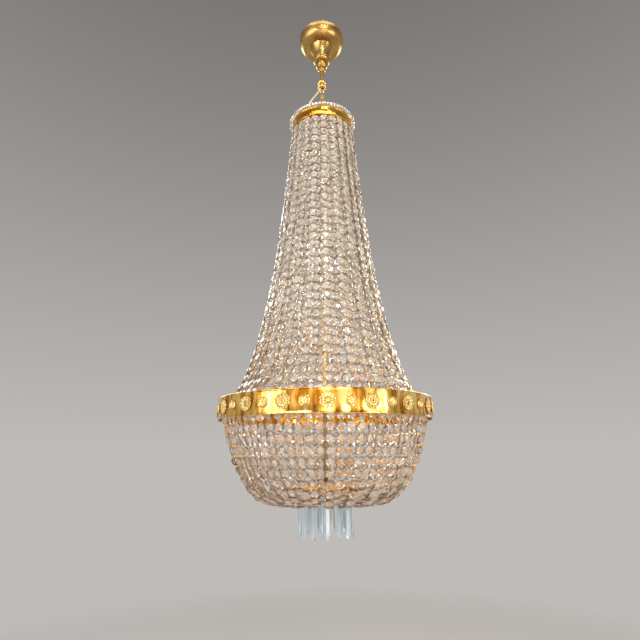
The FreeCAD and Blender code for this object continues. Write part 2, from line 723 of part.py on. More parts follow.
def prism_blank():
    """A cut glass bar, ridged on both faces, with a thin pierced tab and a pointed foot."""
    top = PRISM_HOLE_MARGIN
    foot = top - PRISM_LENGTH
    half_w, half_d = PRISM_WIDTH / 2, PRISM_DEPTH / 2
    face_outline = [
        Vector(0, -PRISM_TAB_WIDTH / 2, top), Vector(0, PRISM_TAB_WIDTH / 2, top),
        Vector(0, half_w, top - PRISM_TAB_LENGTH), Vector(0, half_w, foot + PRISM_TIP_LENGTH),
        Vector(0, half_w * 0.35, foot), Vector(0, -half_w * 0.35, foot),
        Vector(0, -half_w, foot + PRISM_TIP_LENGTH), Vector(0, -half_w, top - PRISM_TAB_LENGTH)]
    sheet = polygon_face(face_outline)
    sheet.translate(Vector(-half_d, 0, 0))
    outline = sheet.extrude(Vector(PRISM_DEPTH, 0, 0))
    edge = PRISM_TAB_THICKNESS / 2
    shoulder = top - PRISM_TAB_LENGTH
    ridge = [Vector(-half_d, 0, foot), Vector(-edge, half_w, foot), Vector(edge, half_w, foot),
             Vector(half_d, 0, foot), Vector(edge, -half_w, foot), Vector(-edge, -half_w, foot)]
    bar = polygon_face(ridge).extrude(Vector(0, 0, PRISM_LENGTH))
    side = [Vector(-edge, 0, top), Vector(edge, 0, top), Vector(edge, 0, shoulder),
            Vector(half_d, 0, shoulder - PRISM_TAB_LENGTH), Vector(half_d, 0, foot),
            Vector(-half_d, 0, foot), Vector(-half_d, 0, shoulder - PRISM_TAB_LENGTH),
            Vector(-edge, 0, shoulder)]
    slab = polygon_face(side)
    slab.translate(Vector(0, -half_w, 0))
    slab = slab.extrude(Vector(0, PRISM_WIDTH, 0))
    hole = Part.makeCylinder(PRISM_HOLE_RADIUS, 2 * PRISM_DEPTH, Vector(-PRISM_DEPTH, 0, 0), AXIS_X)
    return outline.common(bar).common(slab).cut(hole)


def prism(index):
    piece = prism_blank()
    piece.rotate(ORIGIN, AXIS_Z, PRISM_TURNS[index % len(PRISM_TURNS)])
    piece.translate(Vector(PRISM_CIRCLE, 0, PRISM_HOLE_Z))
    return turned_about_z(piece, prism_angle(index))


# ---------------------------------------------------------------- lamps
def lamp_holder():
    """A drip cup and a sleeve standing on one arm of the band's spider."""
    bottom = RING_TOP_Z + TOUCH_GAP
    cup = [(0.0, 0.0), (HOLDER_RADIUS, 0.0), (HOLDER_CUP_RADIUS, HOLDER_CUP_HEIGHT),
           (HOLDER_RADIUS, HOLDER_CUP_HEIGHT), (HOLDER_RADIUS, HOLDER_HEIGHT),
           (HOLDER_RADIUS - HOLDER_WALL, HOLDER_HEIGHT), (HOLDER_RADIUS - HOLDER_WALL, HOLDER_WALL),
           (0.0, HOLDER_WALL)]
    holder = turned([(r, bottom + z) for r, z in cup])
    holder.translate(Vector(LAMP_CIRCLE, 0, 0))
    return holder


def bulb():
    """A candle bulb: the screw cap down in the holder and a tapered envelope."""
    foot = RING_TOP_Z + TOUCH_GAP
    cap = foot + HOLDER_WALL + TOUCH_GAP
    neck = foot + HOLDER_HEIGHT + TOUCH_GAP
    tip = cap + BULB_LENGTH
    belly = neck + (tip - neck) * BULB_BELLY
    shoulder = at(BULB_RADIUS * 0.72, (belly + tip) / 2 + BULB_RADIUS * 0.2)
    edges = [
        Part.LineSegment(at(0, cap), at(BULB_CAP_RADIUS, cap)).toShape(),
        Part.LineSegment(at(BULB_CAP_RADIUS, cap), at(BULB_CAP_RADIUS, neck)).toShape(),
        Part.LineSegment(at(BULB_CAP_RADIUS, neck), at(BULB_RADIUS, belly)).toShape(),
        Part.Arc(at(BULB_RADIUS, belly), shoulder, at(BULB_TIP_RADIUS, tip)).toShape(),
        Part.LineSegment(at(BULB_TIP_RADIUS, tip), at(0, tip)).toShape(),
        Part.LineSegment(at(0, tip), at(0, cap)).toShape()]
    body = revolve(Part.Face(Part.Wire(edges)))
    body.translate(Vector(LAMP_CIRCLE, 0, 0))
    return body


# ---------------------------------------------------------------- supply cable
def cable_corner(before, corner, after):
    """Radius and tangent length of the arc that rounds one point of the route."""
    into, out = corner - before, after - corner
    turn = into.getAngle(out)
    tangent = 0.45 * min(into.Length, out.Length)
    return tangent / math.tan(turn / 2), tangent


def supply_cable():
    """A round cable along straight runs joined by tangent arcs."""
    points = [Vector(*p) for p in CABLE_ROUTE]
    edges = []
    last = points[0]
    radii = []
    for before, corner, after in zip(points, points[1:], points[2:]):
        radius, tangent = cable_corner(before, corner, after)
        into = (corner - before).normalize()
        out = (after - corner).normalize()
        start, end = corner - into * tangent, corner + out * tangent
        inward = (out - into).normalize()
        half = into.getAngle(out) / 2
        middle = corner + inward * (radius / math.cos(half) - radius)
        edges.append(Part.LineSegment(last, start).toShape())
        edges.append(Part.Arc(start, middle, end).toShape())
        last = end
        radii.append(round(radius, 1))
    edges.append(Part.LineSegment(last, points[-1]).toShape())
    path = Part.Wire(edges)
    section = Part.Wire(Part.Circle(points[0], points[1] - points[0], CABLE_RADIUS).toShape())
    tube = path.makePipeShell([section], True, False)
    print("cable radii", radii, "length", round(path.Length, 1))
    print("cable volume", round(tube.Volume), "of", round(math.pi * CABLE_RADIUS ** 2 * path.Length))
    return tube


# ---------------------------------------------------------------- the whole part
def build():
    pieces = {
        "ceiling_bracket": ceiling_bracket(),
        "bracket_nut": bracket_nut(),
        "terminal_block": terminal_block(),
        "suspension_stem": suspension_stem(),
        "stem_hook": stem_hook(),
        "canopy_dish": canopy_dish(),
        "canopy_bell": canopy_bell(),
        "canopy_collar": canopy_collar(),
        "collar_screw": collar_screw(),
        "hanging_link": hanging_link(),
        "crown_bail": crown_bail(),
        "crown_spider": crown_spider(),
        "crown_hoop": crown_hoop(),
        "crown_beads": crown_beads(),
        "central_tube": central_tube(),
        "tube_nuts": tube_nuts(),
        "finial": finial(),
        "band_hoop": band_hoop(),
        "string_ring": string_ring(),
        "band_spider": band_spider(),
        "large_rosettes": rosettes(large_rosette(), 0.0),
        "small_rosettes": rosettes(small_rosette(), 180.0 / ROSETTES_OF_EACH),
        "lamp_holders": Part.makeCompound(round_z(lamp_holder(), LAMPS)),
        "bulbs": Part.makeCompound(round_z(bulb(), LAMPS)),
        "lower_ring": lower_ring(),
        "lower_plate": lower_plate(),
        "supply_cable": supply_cable(),
    }
    cone = string_solids(cone_line(), CONE_LEAD)
    basket = string_solids(basket_line(), BASKET_LEAD)
    for group, side in enumerate(STRING_GROUPS):
        pieces["cone_strings_" + side] = string_group(cone, group)
        pieces["basket_strings_" + side] = string_group(basket, group)
    for i in range(PRISMS):
        pieces["prism_%02d" % (i + 1)] = prism(i)
        pieces["prism_loop_%02d" % (i + 1)] = prism_loop(i)
    return pieces


def main():
    os.makedirs("parts", exist_ok=True)
    for name, shape in build().items():
        solids = shape.Solids
        print(name, len(solids), "valid" if shape.isValid() else "NOT VALID",
              round(sum(s.Volume for s in solids)))
        shape.exportStep("parts/" + name + ".step")


main()
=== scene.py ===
# %% [markdown]
# # A crystal chandelier
#
# The real object is a gilt frame dressed with strings of cut glass octagons.  The strings hang
# from a small crown, flare out over a decorated band, and close in a basket under it.  The
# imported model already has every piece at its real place, so this notebook only adds the looks:
# it loads that model as a fixed frame and builds finer pieces round it.

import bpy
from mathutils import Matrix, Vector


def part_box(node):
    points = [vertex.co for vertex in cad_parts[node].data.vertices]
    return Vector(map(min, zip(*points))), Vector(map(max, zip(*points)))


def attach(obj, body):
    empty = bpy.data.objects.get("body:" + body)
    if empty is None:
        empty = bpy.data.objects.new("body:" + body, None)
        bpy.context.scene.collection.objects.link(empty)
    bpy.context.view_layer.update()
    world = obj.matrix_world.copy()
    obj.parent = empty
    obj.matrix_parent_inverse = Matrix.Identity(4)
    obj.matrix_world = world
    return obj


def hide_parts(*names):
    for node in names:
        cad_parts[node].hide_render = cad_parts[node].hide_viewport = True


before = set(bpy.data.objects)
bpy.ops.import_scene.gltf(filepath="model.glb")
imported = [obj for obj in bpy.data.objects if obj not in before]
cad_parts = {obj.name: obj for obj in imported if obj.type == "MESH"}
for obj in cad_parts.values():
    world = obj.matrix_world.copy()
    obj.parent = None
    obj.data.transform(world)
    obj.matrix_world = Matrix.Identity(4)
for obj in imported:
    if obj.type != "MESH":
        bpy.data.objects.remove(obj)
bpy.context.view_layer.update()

# %% [markdown]
# ## Helpers for sizes
#
# Everything is in metres here, but people who make lamps think in millimetres, so profiles are
# written in millimetres and scaled once.  Sizes that the frame already knows are read from the
# box of a node, which keeps the fine pieces on what carries them.

# %% Sizes
import bpy
import bmesh
import math
import random
from mathutils import Matrix, Vector

MM = 0.001
UP = Vector((0, 0, 1))
QUARTER = math.pi / 2
SHARP = math.radians(30)  # an edge that is sharper than this gets rounded


def outer_radius(node):
    """The largest radius of a round node about the lamp's axis, in millimetres."""
    low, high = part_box(node)
    return max(high.x, high.y) / MM


def top_and_bottom(node):
    low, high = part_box(node)
    return high.z / MM, low.z / MM


print("band radius", round(outer_radius("band_hoop"), 1), "mm")

# %% [markdown]
# ## Helpers for shapes
#
# Nearly all the metal is spun or turned, so one helper spins a row of corners about the axis,
# and a bevel afterwards rounds the rims as a polisher would.  Small repeated parts are built
# once as a mesh and stamped many times with a matrix, which is quicker than running the
# operators for each copy.

# %% Spinning, rounding and stamping
def spun(profile, steps=96, closed=True):
    """Turn (radius, height) corners in millimetres about the vertical axis."""
    bm = bmesh.new()
    verts = [bm.verts.new((r * MM, 0, z * MM)) for r, z in profile]
    ends = verts[1:] + verts[:1] if closed else verts[1:]
    edges = [bm.edges.new(pair) for pair in zip(verts, ends)]
    bmesh.ops.spin(bm, geom=verts + edges, cent=(0, 0, 0), axis=UP, angle=math.tau,
                   steps=steps, use_merge=True)
    return clean(bm)


def clean(bm):
    """Close the poles and seams, and turn every face outwards."""
    bmesh.ops.remove_doubles(bm, verts=bm.verts[:], dist=1e-6)
    flat = [f for f in bm.faces if f.calc_area() < 1e-14]
    bmesh.ops.delete(bm, geom=flat, context="FACES")
    bmesh.ops.recalc_face_normals(bm, faces=bm.faces[:])
    return bm


def soften(bm, offset):
    """Round every sharp edge, by an offset in millimetres."""
    sharp = [e for e in bm.edges if len(e.link_faces) == 2 and e.calc_face_angle(0) > SHARP]
    bmesh.ops.bevel(bm, geom=sharp, offset=offset * MM, offset_type="OFFSET", segments=3,
                    profile=0.5, affect="EDGES", material=-1, clamp_overlap=True)
    return bm


def pipe(radius, wall, top, bottom, steps):
    """A straight tube about the axis, in millimetres."""
    return spun([(radius - wall, bottom), (radius, bottom), (radius, top), (radius - wall, top)],
                steps=steps)


def arc(centre, radius, start, end, count):
    """Points of a round stretch of a profile, from one angle to another in degrees."""
    angles = [math.radians(start + (end - start) * i / count) for i in range(count + 1)]
    return [(centre[0] + radius * math.cos(a), centre[1] + radius * math.sin(a)) for a in angles]


def move(x, y, z):
    """A step in millimetres."""
    return Matrix.Translation((x * MM, y * MM, z * MM))


def turn(angle, axis="Z"):
    return Matrix.Rotation(angle, 4, axis)


def as_mesh(bm):
    mesh = bpy.data.meshes.new("stamp")
    bm.to_mesh(mesh)
    bm.free()
    return mesh


def stamp(bm, mesh, matrix):
    """Add a copy of a small mesh to a growing piece."""
    copy = mesh.copy()
    copy.transform(matrix)
    bm.from_mesh(copy, face_normals=False)
    bpy.data.meshes.remove(copy)


def wire_ring(radius, wire, steps=32, sides=10):
    """A ring of round wire about Z, with both radii in millimetres."""
    bm = bmesh.new()
    bmesh.ops.create_circle(bm, segments=sides, radius=wire * MM,
                            matrix=move(radius, 0, 0) @ turn(QUARTER, "X"))
    bmesh.ops.spin(bm, geom=bm.verts[:] + bm.edges[:], cent=(0, 0, 0), axis=UP,
                   angle=math.tau, steps=steps, use_merge=True)
    return clean(bm)


print("helpers ready")

# %% [markdown]
# ## Finishing a piece
#
# A finished piece rides on the body that carries it, takes its material, and hides the plain
# solids that it stands for.  Smooth shading with sharp edges kept at an angle gives crisp rims
# on smooth walls.

# %% Finish a piece
def add_object(name, data):
    thing = bpy.data.objects.new(name, data)
    bpy.context.scene.collection.objects.link(thing)
    return thing


def finish_piece(bm, name, material, stands_for=(), body="chandelier",
                 crease=35):
    mesh = bpy.data.meshes.new(name)
    bm.to_mesh(mesh)
    bm.free()
    mesh.materials.append(material)
    if crease:
        mesh.shade_smooth()
        mesh.set_sharp_from_angle(angle=math.radians(crease))
    piece = add_object(name, mesh)
    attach(piece, body)
    if stands_for:
        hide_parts(*stands_for)
    print(name, len(mesh.polygons), "faces")
    return piece


def give(nodes, material):
    """A node of the frame whose shape is right only gets a better material."""
    for name in nodes:
        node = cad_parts[name]
        node.data.materials.clear()
        node.data.materials.append(material)


print("finishing helpers ready")

# %% [markdown]
# ## Building materials
#
# A material here is a small tree of nodes.  This class keeps one tree and adds nodes to it: the
# dictionary that a node is given holds plain values, which go straight on its sockets, and
# outputs of other nodes, which are linked.  Each step gives back the output to go on with.

# %% Shading
class Shading:
    """The node tree of a new material or world."""

    def __init__(self, owner, shader="Principled BSDF", space="Object"):
        owner.use_nodes = True
        self.owner, self.tree = owner, owner.node_tree
        self.shader = self.tree.nodes[shader]
        self.place = self.add("TexCoord", space)

    def fill(self, node, inputs):
        for socket, value in inputs.items():
            if isinstance(value, bpy.types.NodeSocket):
                self.tree.links.new(value, node.inputs[socket])
            else:
                node.inputs[socket].default_value = value

    def add(self, kind, output, inputs=(), **settings):
        node = self.tree.nodes.new("ShaderNode" + kind)
        for name, setting in settings.items():
            setattr(node, name, setting)
        self.fill(node, dict(inputs))
        return node.outputs[output]

    def finish(self, inputs):
        """Fill the shader's own sockets, and give back the material or world."""
        self.fill(self.shader, inputs)
        return self.owner

    def part(self, name):
        """One of X, Y and Z of the place."""
        return self.add("SeparateXYZ", name, {"Vector": self.place})

    def distance(self, place):
        return self.add("VectorMath", "Value", {0: place}, operation="LENGTH")

    def noise(self, scale, detail=2.0, vector=None):
        inputs = {"Vector": vector or self.place, "Scale": scale, "Detail": detail}
        return self.add("TexNoise", "Fac", inputs)

    def ramp(self, value, stops, interpolation="LINEAR"):
        """A colour ramp with (position, colour) stops."""
        output = self.add("ValToRGB", "Color", {"Fac": value})
        output.node.color_ramp.interpolation = interpolation
        elements = output.node.color_ramp.elements
        while len(elements) < len(stops):
            elements.new(1.0)
        for element, (position, colour) in zip(elements, stops):
            element.position = position
            element.color = (*colour, 1.0)
        return output

    def ranged(self, value, low, high, first=0.3, last=0.7, kind="LINEAR"):
        """Stretch a value from first ... last, where most noise lies, to low ... high."""
        inputs = {"Value": value, "From Min": first, "From Max": last, "To Min": low,
                  "To Max": high}
        return self.add("MapRange", "Result", inputs, interpolation_type=kind)

    def bump(self, height, distance):
        return self.add("Bump", "Normal", {"Height": height, "Distance": distance})


def surface(name):
    return Shading(bpy.data.materials.new(name))


def plain_finish(name, metallic, scale, detail, tints, roughness, depth):
    """Tints, a roughness and a shallow bump that all follow one noise."""
    finish = surface(name)
    grain = finish.noise(scale, detail)
    return finish.finish({"Metallic": metallic, "Base Color": finish.ramp(grain, tints),
                          "Roughness": finish.ranged(grain, *roughness),
                          "Normal": finish.bump(grain, depth)})


print("shading helpers ready")

# %% [markdown]
# ## Gilding
#
# The metal is brass under a thin polished gold plate.  A mirror of even colour looks like
# plastic, so three weak patterns break it up: a slow drift between a deep and a bright gold, a
# finer one in the roughness where the polish is uneven, and a shallow bump, because thin spun
# sheet is never quite true.  Its ripples pull reflections into streaks.

# %% Gilding
GOLD_DEEP = (0.78, 0.42, 0.07)
GOLD_BRIGHT = (1.0, 0.72, 0.24)


def gilding(name, roughness, ripple_scale, ripple_depth, deep=GOLD_DEEP, bright=GOLD_BRIGHT):
    gold = surface(name)
    return gold.finish({
        "Metallic": 1.0,
        "Base Color": gold.ramp(gold.noise(22.0, 3.0), [(0.3, deep), (0.7, bright)]),
        "Roughness": gold.ranged(gold.noise(60.0), roughness * 0.8, roughness * 1.25),
        "Normal": gold.bump(gold.noise(ripple_scale), ripple_depth)})


gold_spun = gilding("gilt_spun", 0.16, 26.0, 0.0012)
gold_satin = gilding("gilt_satin", 0.30, 14.0, 0.0004, (0.38, 0.22, 0.06), (0.66, 0.43, 0.15))
gold_beaten = gilding("gilt_beaten", 0.20, 75.0, 0.0016, (0.70, 0.32, 0.03), (1.0, 0.62, 0.14))
gold_cast = gilding("gilt_cast", 0.20, 160.0, 0.0004, (0.86, 0.52, 0.12), (1.0, 0.78, 0.30))
gold_shaded = gilding("gilt_shaded", 0.30, 90.0, 0.0004, (0.20, 0.11, 0.03), (0.34, 0.19, 0.05))
gold_wire = gilding("gilt_wire", 0.18, 90.0, 0.0003)
print("gilding ready")

# %% [markdown]
# ## The band's sheet
#
# The band is a strip of thin sheet rolled into a hoop.  Rolled sheet has flat places and slow
# waves across its length, so it mirrors the room in upright streaks.  Here the streaks are
# painted reflections in the colour, from dark amber to bright yellow.  The roughness follows
# them, and a shallow bump follows a broader pattern of the same kind.  The pattern runs on
# the angle round the axis instead of on X and Y, and hardly changes with height, so the streaks
# stand upright all the way round.

# %% Band sheet
gold = surface("gilt_sheet")
back = gold.add("Math", "Value", {0: gold.part("Y"), 1: -1.0}, operation="MULTIPLY")
angle = gold.add("Math", "Value", {0: gold.part("X"), 1: back}, operation="ARCTAN2")
upright = gold.add("CombineXYZ", "Vector", {"X": angle, "Z": gold.part("Z")})
streak = gold.noise(16.0, 4.0, upright)
# painted reflections: upright streaks of dark amber and bright yellow in the colour
colours = [(0.38, (0.50, 0.20, 0.02)), (0.5, (0.92, 0.50, 0.10)), (0.60, (1.0, 0.76, 0.27))]
gold_sheet = gold.finish({
    "Metallic": 1.0, "Base Color": gold.ramp(streak, colours),
    "Roughness": gold.ranged(streak, 0.10, 0.22),
    "Normal": gold.bump(gold.noise(3.5, 1.0, upright), 0.010)})
print("band sheet ready")

# %% [markdown]
# ## Relief
#
# The rosettes are pressed reliefs.  Their hollows are painted dark brown as painted shade,
# which draws their outlines, and their high parts a lighter gold.  The distance from the axis
# tells high from low.

# %% Relief
BAND_SHEET_RADIUS = 246.0
RELIEF_DEPTH = 2.6
# painted shade for the hollows, and the lighter gold of the high parts
HOLLOW_SHADE, RAISED_GOLD = (0.26, 0.11, 0.015), (1.0, 0.80, 0.34)
gold = surface("gilt_relief")
level = gold.add("VectorMath", "Vector", {0: gold.place, 1: (1.0, 1.0, 0.0)},
                 operation="MULTIPLY")
raised = gold.ranged(gold.distance(level), 0.0, 1.0, BAND_SHEET_RADIUS * MM,
                     (BAND_SHEET_RADIUS + RELIEF_DEPTH) * MM)
gold_relief = gold.finish({
    "Metallic": 1.0,
    "Base Color": gold.ramp(raised, [(0.3, HOLLOW_SHADE), (0.62, GOLD_DEEP), (0.85, RAISED_GOLD)]),
    "Roughness": gold.ranged(gold.noise(300.0), 0.22, 0.36)})
print("relief ready")

# %% [markdown]
# ## Crystal
#
# Cut crystal is clear, but nobody sees it as clear: each facet throws back another bit of the
# room, and near the gilt band many of them throw back gold.  Here those reflections are painted
# into the colour.  The shader is clear glass with a little body, which stands for the many weak
# reflections inside a stone.  A number kept on each facet picks its painted tint: white, cream
# and cool blue as painted reflections of the room, peach and amber near the band as painted
# reflections of the gold, and umber and a darker shade as painted shade, which mostly fills the
# girdle and draws each stone's outline.  A quarter of its range stands for each row of the cut,
# from the girdle to the table, and the place within the quarter is random, so no two stones are
# alike.  The number is part of the mesh, so the painted sparkle stays put when the camera moves.

# %% Crystal
ROWS = 4  # girdle, outer row, star row, table
CLEAR, CREAM = (1.0, 0.98, 0.95), (1.0, 0.90, 0.75)
PEACH, AMBER = (1.0, 0.78, 0.58), (0.92, 0.52, 0.24)
UMBER, SHADE = (0.52, 0.40, 0.29), (0.30, 0.23, 0.17)
COOL = (0.80, 0.90, 1.0)
# each row's painted tints as (share, colour), girdle first: painted reflections, and painted shade
# in UMBER and SHADE
UPPER_TINTS = (
    ((0.30, CREAM), (0.70, UMBER)),
    ((0.60, CLEAR), (0.24, CREAM), (0.10, UMBER), (0.06, SHADE)),
    ((0.46, CLEAR), (0.28, CREAM), (0.13, UMBER), (0.13, COOL)),
    ((0.56, CREAM), (0.38, CLEAR), (0.06, UMBER)),
)
# near the band: peach and amber as painted reflections of the gold, and a girdle almost all in
# painted shade
LOWER_TINTS = (
    ((0.10, PEACH), (0.90, SHADE)),
    ((0.42, CLEAR), (0.28, PEACH), (0.20, UMBER), (0.10, COOL)),
    ((0.32, CLEAR), (0.22, PEACH), (0.26, AMBER), (0.20, COOL)),
    ((0.40, PEACH), (0.38, CLEAR), (0.22, AMBER)),
)
BAND_TOP, BAND_BOTTOM = top_and_bottom("band_hoop")
GOLD_REFLECTION_REACH = 300.0  # how far above the band the painted reflection of its gold shows in the stones


def by_row(tints):
    """Stops of a facet ramp: each row of the cut has its own (share, colour) tints."""
    stops = []
    for row, choices in enumerate(tints):
        start = 0.0
        for share, colour in choices:
            stops.append(((row + start) / ROWS, colour))
            start += share
    return stops


glass = surface("crystal_octagons")
facet = glass.add("Attribute", "Fac", attribute_name="facet")
upper = glass.ramp(facet, by_row(UPPER_TINTS), "CONSTANT")
lower = glass.ramp(facet, by_row(LOWER_TINTS), "CONSTANT")
# painted reflection of the band's gold: the lower tints take over towards the band
near = glass.ranged(glass.part("Z"), 0.1, 1.0, (BAND_TOP + GOLD_REFLECTION_REACH) * MM, BAND_TOP * MM,
                    "SMOOTHSTEP")
# a colour mix takes its two colours on sockets 6 and 7 and gives the result on 2
tint = glass.add("Mix", 2, {"Factor": near, 6: upper, 7: lower}, data_type="RGBA")
crystal = glass.finish({"Base Color": tint, "Transmission Weight": 0.77, "Roughness": 0.02,
                        "IOR": 1.55})


def finish_stones(bm, name, node, rows, seed):
    """Cut stones: each facet keeps its row and a random part, the same on every run."""
    piece = finish_piece(bm, name, crystal, [node], crease=0)
    rng = random.Random(seed)
    values = [(rows[i % len(rows)] + rng.random()) / ROWS for i in range(len(piece.data.polygons))]
    attribute = piece.data.attributes.new("facet", "FLOAT", "FACE")
    attribute.data.foreach_set("value", values)


print("crystal ready")

# %% [markdown]
# ## One octagon
#
# A chandelier octagon is a slice of glass with a thin girdle.  Each face steps in to a small
# table through two rows of facets, and the inner row is a star: its inner corners sit between
# its outer ones.  A circle with eight corners, an extrusion for the girdle and two insets on
# each face make it, and turning the table by half a side gives the star.  It stays under sixty
# faces, because it is stamped more than three thousand times.

# %% One octagon
OCTAGON_SIZE, OCTAGON_THICKNESS = 18.0, 5.6
GIRDLE = 1.6
STEP_IN = (2.7, 2.5)  # width of the outer and inner row of facets
STEP_UP = 0.5  # share of the crown height that the outer row takes
STAR_REACH = 0.30  # share of the size that the star row's facets lie within


def octagon():
    bm = bmesh.new()
    corner = OCTAGON_SIZE / 2 / math.cos(math.pi / 8) * MM
    bmesh.ops.create_circle(bm, cap_ends=True, segments=8, radius=corner,
                            matrix=turn(math.pi / 8))
    top = bmesh.ops.extrude_face_region(bm, geom=bm.faces[:])
    raised = [v for v in top["geom"] if isinstance(v, bmesh.types.BMVert)]
    bmesh.ops.translate(bm, verts=raised, vec=(0, 0, GIRDLE * MM))
    bmesh.ops.translate(bm, verts=bm.verts[:], vec=(0, 0, -GIRDLE / 2 * MM))
    bmesh.ops.recalc_face_normals(bm, faces=bm.faces[:])
    crown = (OCTAGON_THICKNESS - GIRDLE) / 2
    for side in (1, -1):
        table = max(bm.faces, key=lambda f: side * f.calc_center_median().z)
        bmesh.ops.inset_individual(bm, faces=[table], thickness=STEP_IN[0] * MM,
                                   depth=crown * STEP_UP * MM)
        star = bmesh.ops.inset_individual(bm, faces=[table], thickness=STEP_IN[1] * MM,
                                          depth=crown * (1 - STEP_UP) * MM)
        bmesh.ops.rotate(bm, verts=table.verts[:], cent=(0, 0, 0),
                         matrix=Matrix.Rotation(math.pi / 8, 3, "Z"))
        bmesh.ops.triangulate(bm, faces=star["faces"])
    return as_mesh(clean(bm))


octagon_mesh = octagon()


def row_of(polygon):
    """0 for the girdle, 3 for a table, 2 for the star row round it and 1 for the outer row."""
    flatness = abs(polygon.normal.z)
    if flatness < 0.1:
        return 0
    if flatness > 0.999:
        return 3
    return 2 if polygon.center.xy.length < STAR_REACH * OCTAGON_SIZE * MM else 1


octagon_rows = [row_of(polygon) for polygon in octagon_mesh.polygons]
print("one octagon has", len(octagon_rows), "facets, in rows", sorted(set(octagon_rows)))

# %% [markdown]
# ## Loops of wire
#
# Octagons are joined by small pins, long loops of brass wire that go through a hole near each
# edge, and the link that carries everything is such a loop too.  Half turns of wire joined by
# straight extrusions make it.  A pin has few sides and steps, because there are thousands.

# %% Loops of wire
PIN_WIRE = 0.38
PIN_HALF_WIDTH = 1.5
PIN_OVERLAP = 1.2  # what a pin reaches over the gap between two octagons


def pull(bm, last, step):
    """Pull the open end of a wire along a straight, and give back its new end."""
    edges = [g for g in last if isinstance(g, bmesh.types.BMEdge)]
    pulled = bmesh.ops.extrude_edge_only(bm, edges=edges)
    verts = [g for g in pulled["geom"] if isinstance(g, bmesh.types.BMVert)]
    bmesh.ops.translate(bm, verts=verts, vec=step)
    return verts + [e for e in bm.edges if all(v in verts for v in e.verts)]


def long_loop(straight, half_width, wire, sides, steps):
    """A long loop of wire in the XZ plane, centred, with its straights along X."""
    bm = bmesh.new()
    bmesh.ops.create_circle(bm, segments=sides, radius=wire * MM,
                            matrix=move(straight / 2, 0, half_width) @ turn(QUARTER, "Y"))
    ring = bm.verts[:] + bm.edges[:]
    for side in (1, -1):
        turned = bmesh.ops.spin(bm, geom=ring, cent=(side * straight / 2 * MM, 0, 0),
                                axis=(0, 1, 0), angle=math.pi, steps=steps)
        ring = pull(bm, turned["geom_last"], (-side * straight * MM, 0, 0))
    return clean(bm)


print("loops ready")

# %% [markdown]
# ## The hanging lines
#
# Each string is a chain held at both ends, so it hangs in a catenary, the curve of the
# hyperbolic cosine.  The cone's chains are nearly straight under the crown and sweep out just
# over the band.  The basket's chains drop from the band and curve in to the lower ring.  The
# catenary's own formula gives the place at any run along the chain.

# %% Hanging lines
STRINGS = 72
OCTAGON_PITCH = 22.5
STRING_END = 3.0  # left free at the lower end of a string
CONE_SAG, CONE_LEAD = 60.0, 2.0
BASKET_SAG, BASKET_LEAD = 53.0, 11.5
STRING_RADIUS_AT_BAND = 238.0
CONE_TOP_RADIUS = 78.0
HANG_GAP = 0.4
HOOK_LEAD = 5.0  # longest lead that a plain pin spans at the top of a string


class HangingLine:
    """A chain between two (radius, height) points, in millimetres."""

    def __init__(self, first, last, sag, lead):
        (r1, z1), (r2, z2) = first, last
        self.sag, self.lead = sag, lead
        lean = (z2 - z1) / (2 * sag * math.sinh((r2 - r1) / (2 * sag)))
        self.low_r = (r1 + r2) / 2 - sag * math.asinh(lean)
        self.base = z1 - sag * math.cosh((r1 - self.low_r) / sag)
        self.start = self.arc(r1)
        self.way = 1 if r2 > r1 else -1
        length = abs(self.arc(r2) - self.start)
        self.count = int((length - lead - STRING_END) // OCTAGON_PITCH)

    def arc(self, r):
        return self.sag * math.sinh((r - self.low_r) / self.sag)

    def seat(self, run):
        """Radius at a run, and the matrix that lays a piece along the chain there."""
        u = math.asinh((self.start + self.way * run) / self.sag)
        r = self.low_r + self.sag * u
        z = self.base + self.sag * math.cosh(u)
        along = self.way / math.cosh(u), self.way * math.tanh(u)
        lean = Matrix(((along[0], 0, -along[1]), (0, 1, 0), (along[1], 0, along[0])))
        return r, move(r, 0, z) @ lean.to_4x4()


ring_top, ring_bottom = top_and_bottom("string_ring")
lower_top, lower_bottom = top_and_bottom("lower_ring")
crown_top, crown_bottom = top_and_bottom("crown_hoop")
LIP = 0.3  # the hoop's rolled foot hangs this far under its flange
cone_line = HangingLine((CONE_TOP_RADIUS, crown_bottom + LIP - HANG_GAP),
                        (STRING_RADIUS_AT_BAND, ring_top + HANG_GAP + STRING_END / 2),
                        CONE_SAG, CONE_LEAD)
basket_line = HangingLine((STRING_RADIUS_AT_BAND, ring_bottom - HANG_GAP),
                          (outer_radius("lower_ring") + HANG_GAP + STRING_END / 2,
                           (lower_top + lower_bottom) / 2), BASKET_SAG, BASKET_LEAD)
print("octagons on a string:", cone_line.count, "and", basket_line.count)

# %% [markdown]
# ## Dressing the strings
#
# Where the strings have room their octagons hang face out side by side, each with some twist of
# its own.  Nearer the axis there are more strings than places, so they settle in three layers,
# every third string on the outside and the others behind it.  Half way they also turn a
# little, like tiles that overlap.  The twist is seeded, and small where neighbours could touch.

# %% Strings of octagons
SECTOR = math.tau / STRINGS
FRONT = -QUARTER
LAYER_STEP = 6.0
FREE_ROOM = 18.5  # room from which strings hang side by side
CROWDED_ROOM = 13.0  # and up to which they hang in full layers
TWIST = 13.0  # spread of the turns about the strings, in degrees
CROWDED_CALM = 0.4  # share of the twist that full layers take away


def crowding(room):
    """1 where the strings hang in full layers, 0 where they hang side by side."""
    return min(1.0, max(0.0, (FREE_ROOM - room) / (FREE_ROOM - CROWDED_ROOM)))


def lie(string, radius, rng):
    """How an octagon hangs off its line: a step out of it and a turn about it."""
    room = math.tau * radius / STRINGS
    crowd = crowding(room)
    out = (1 - string % 3) * LAYER_STEP * crowd
    overlap = (1 - crowd) * math.asin(min(1.0, OCTAGON_THICKNESS / room)) if crowd > 0 else 0.0
    twist = math.radians(rng.gauss(0.0, TWIST * (1 - CROWDED_CALM * crowd)))
    return move(0, 0, out) @ turn(overlap + twist, "X")


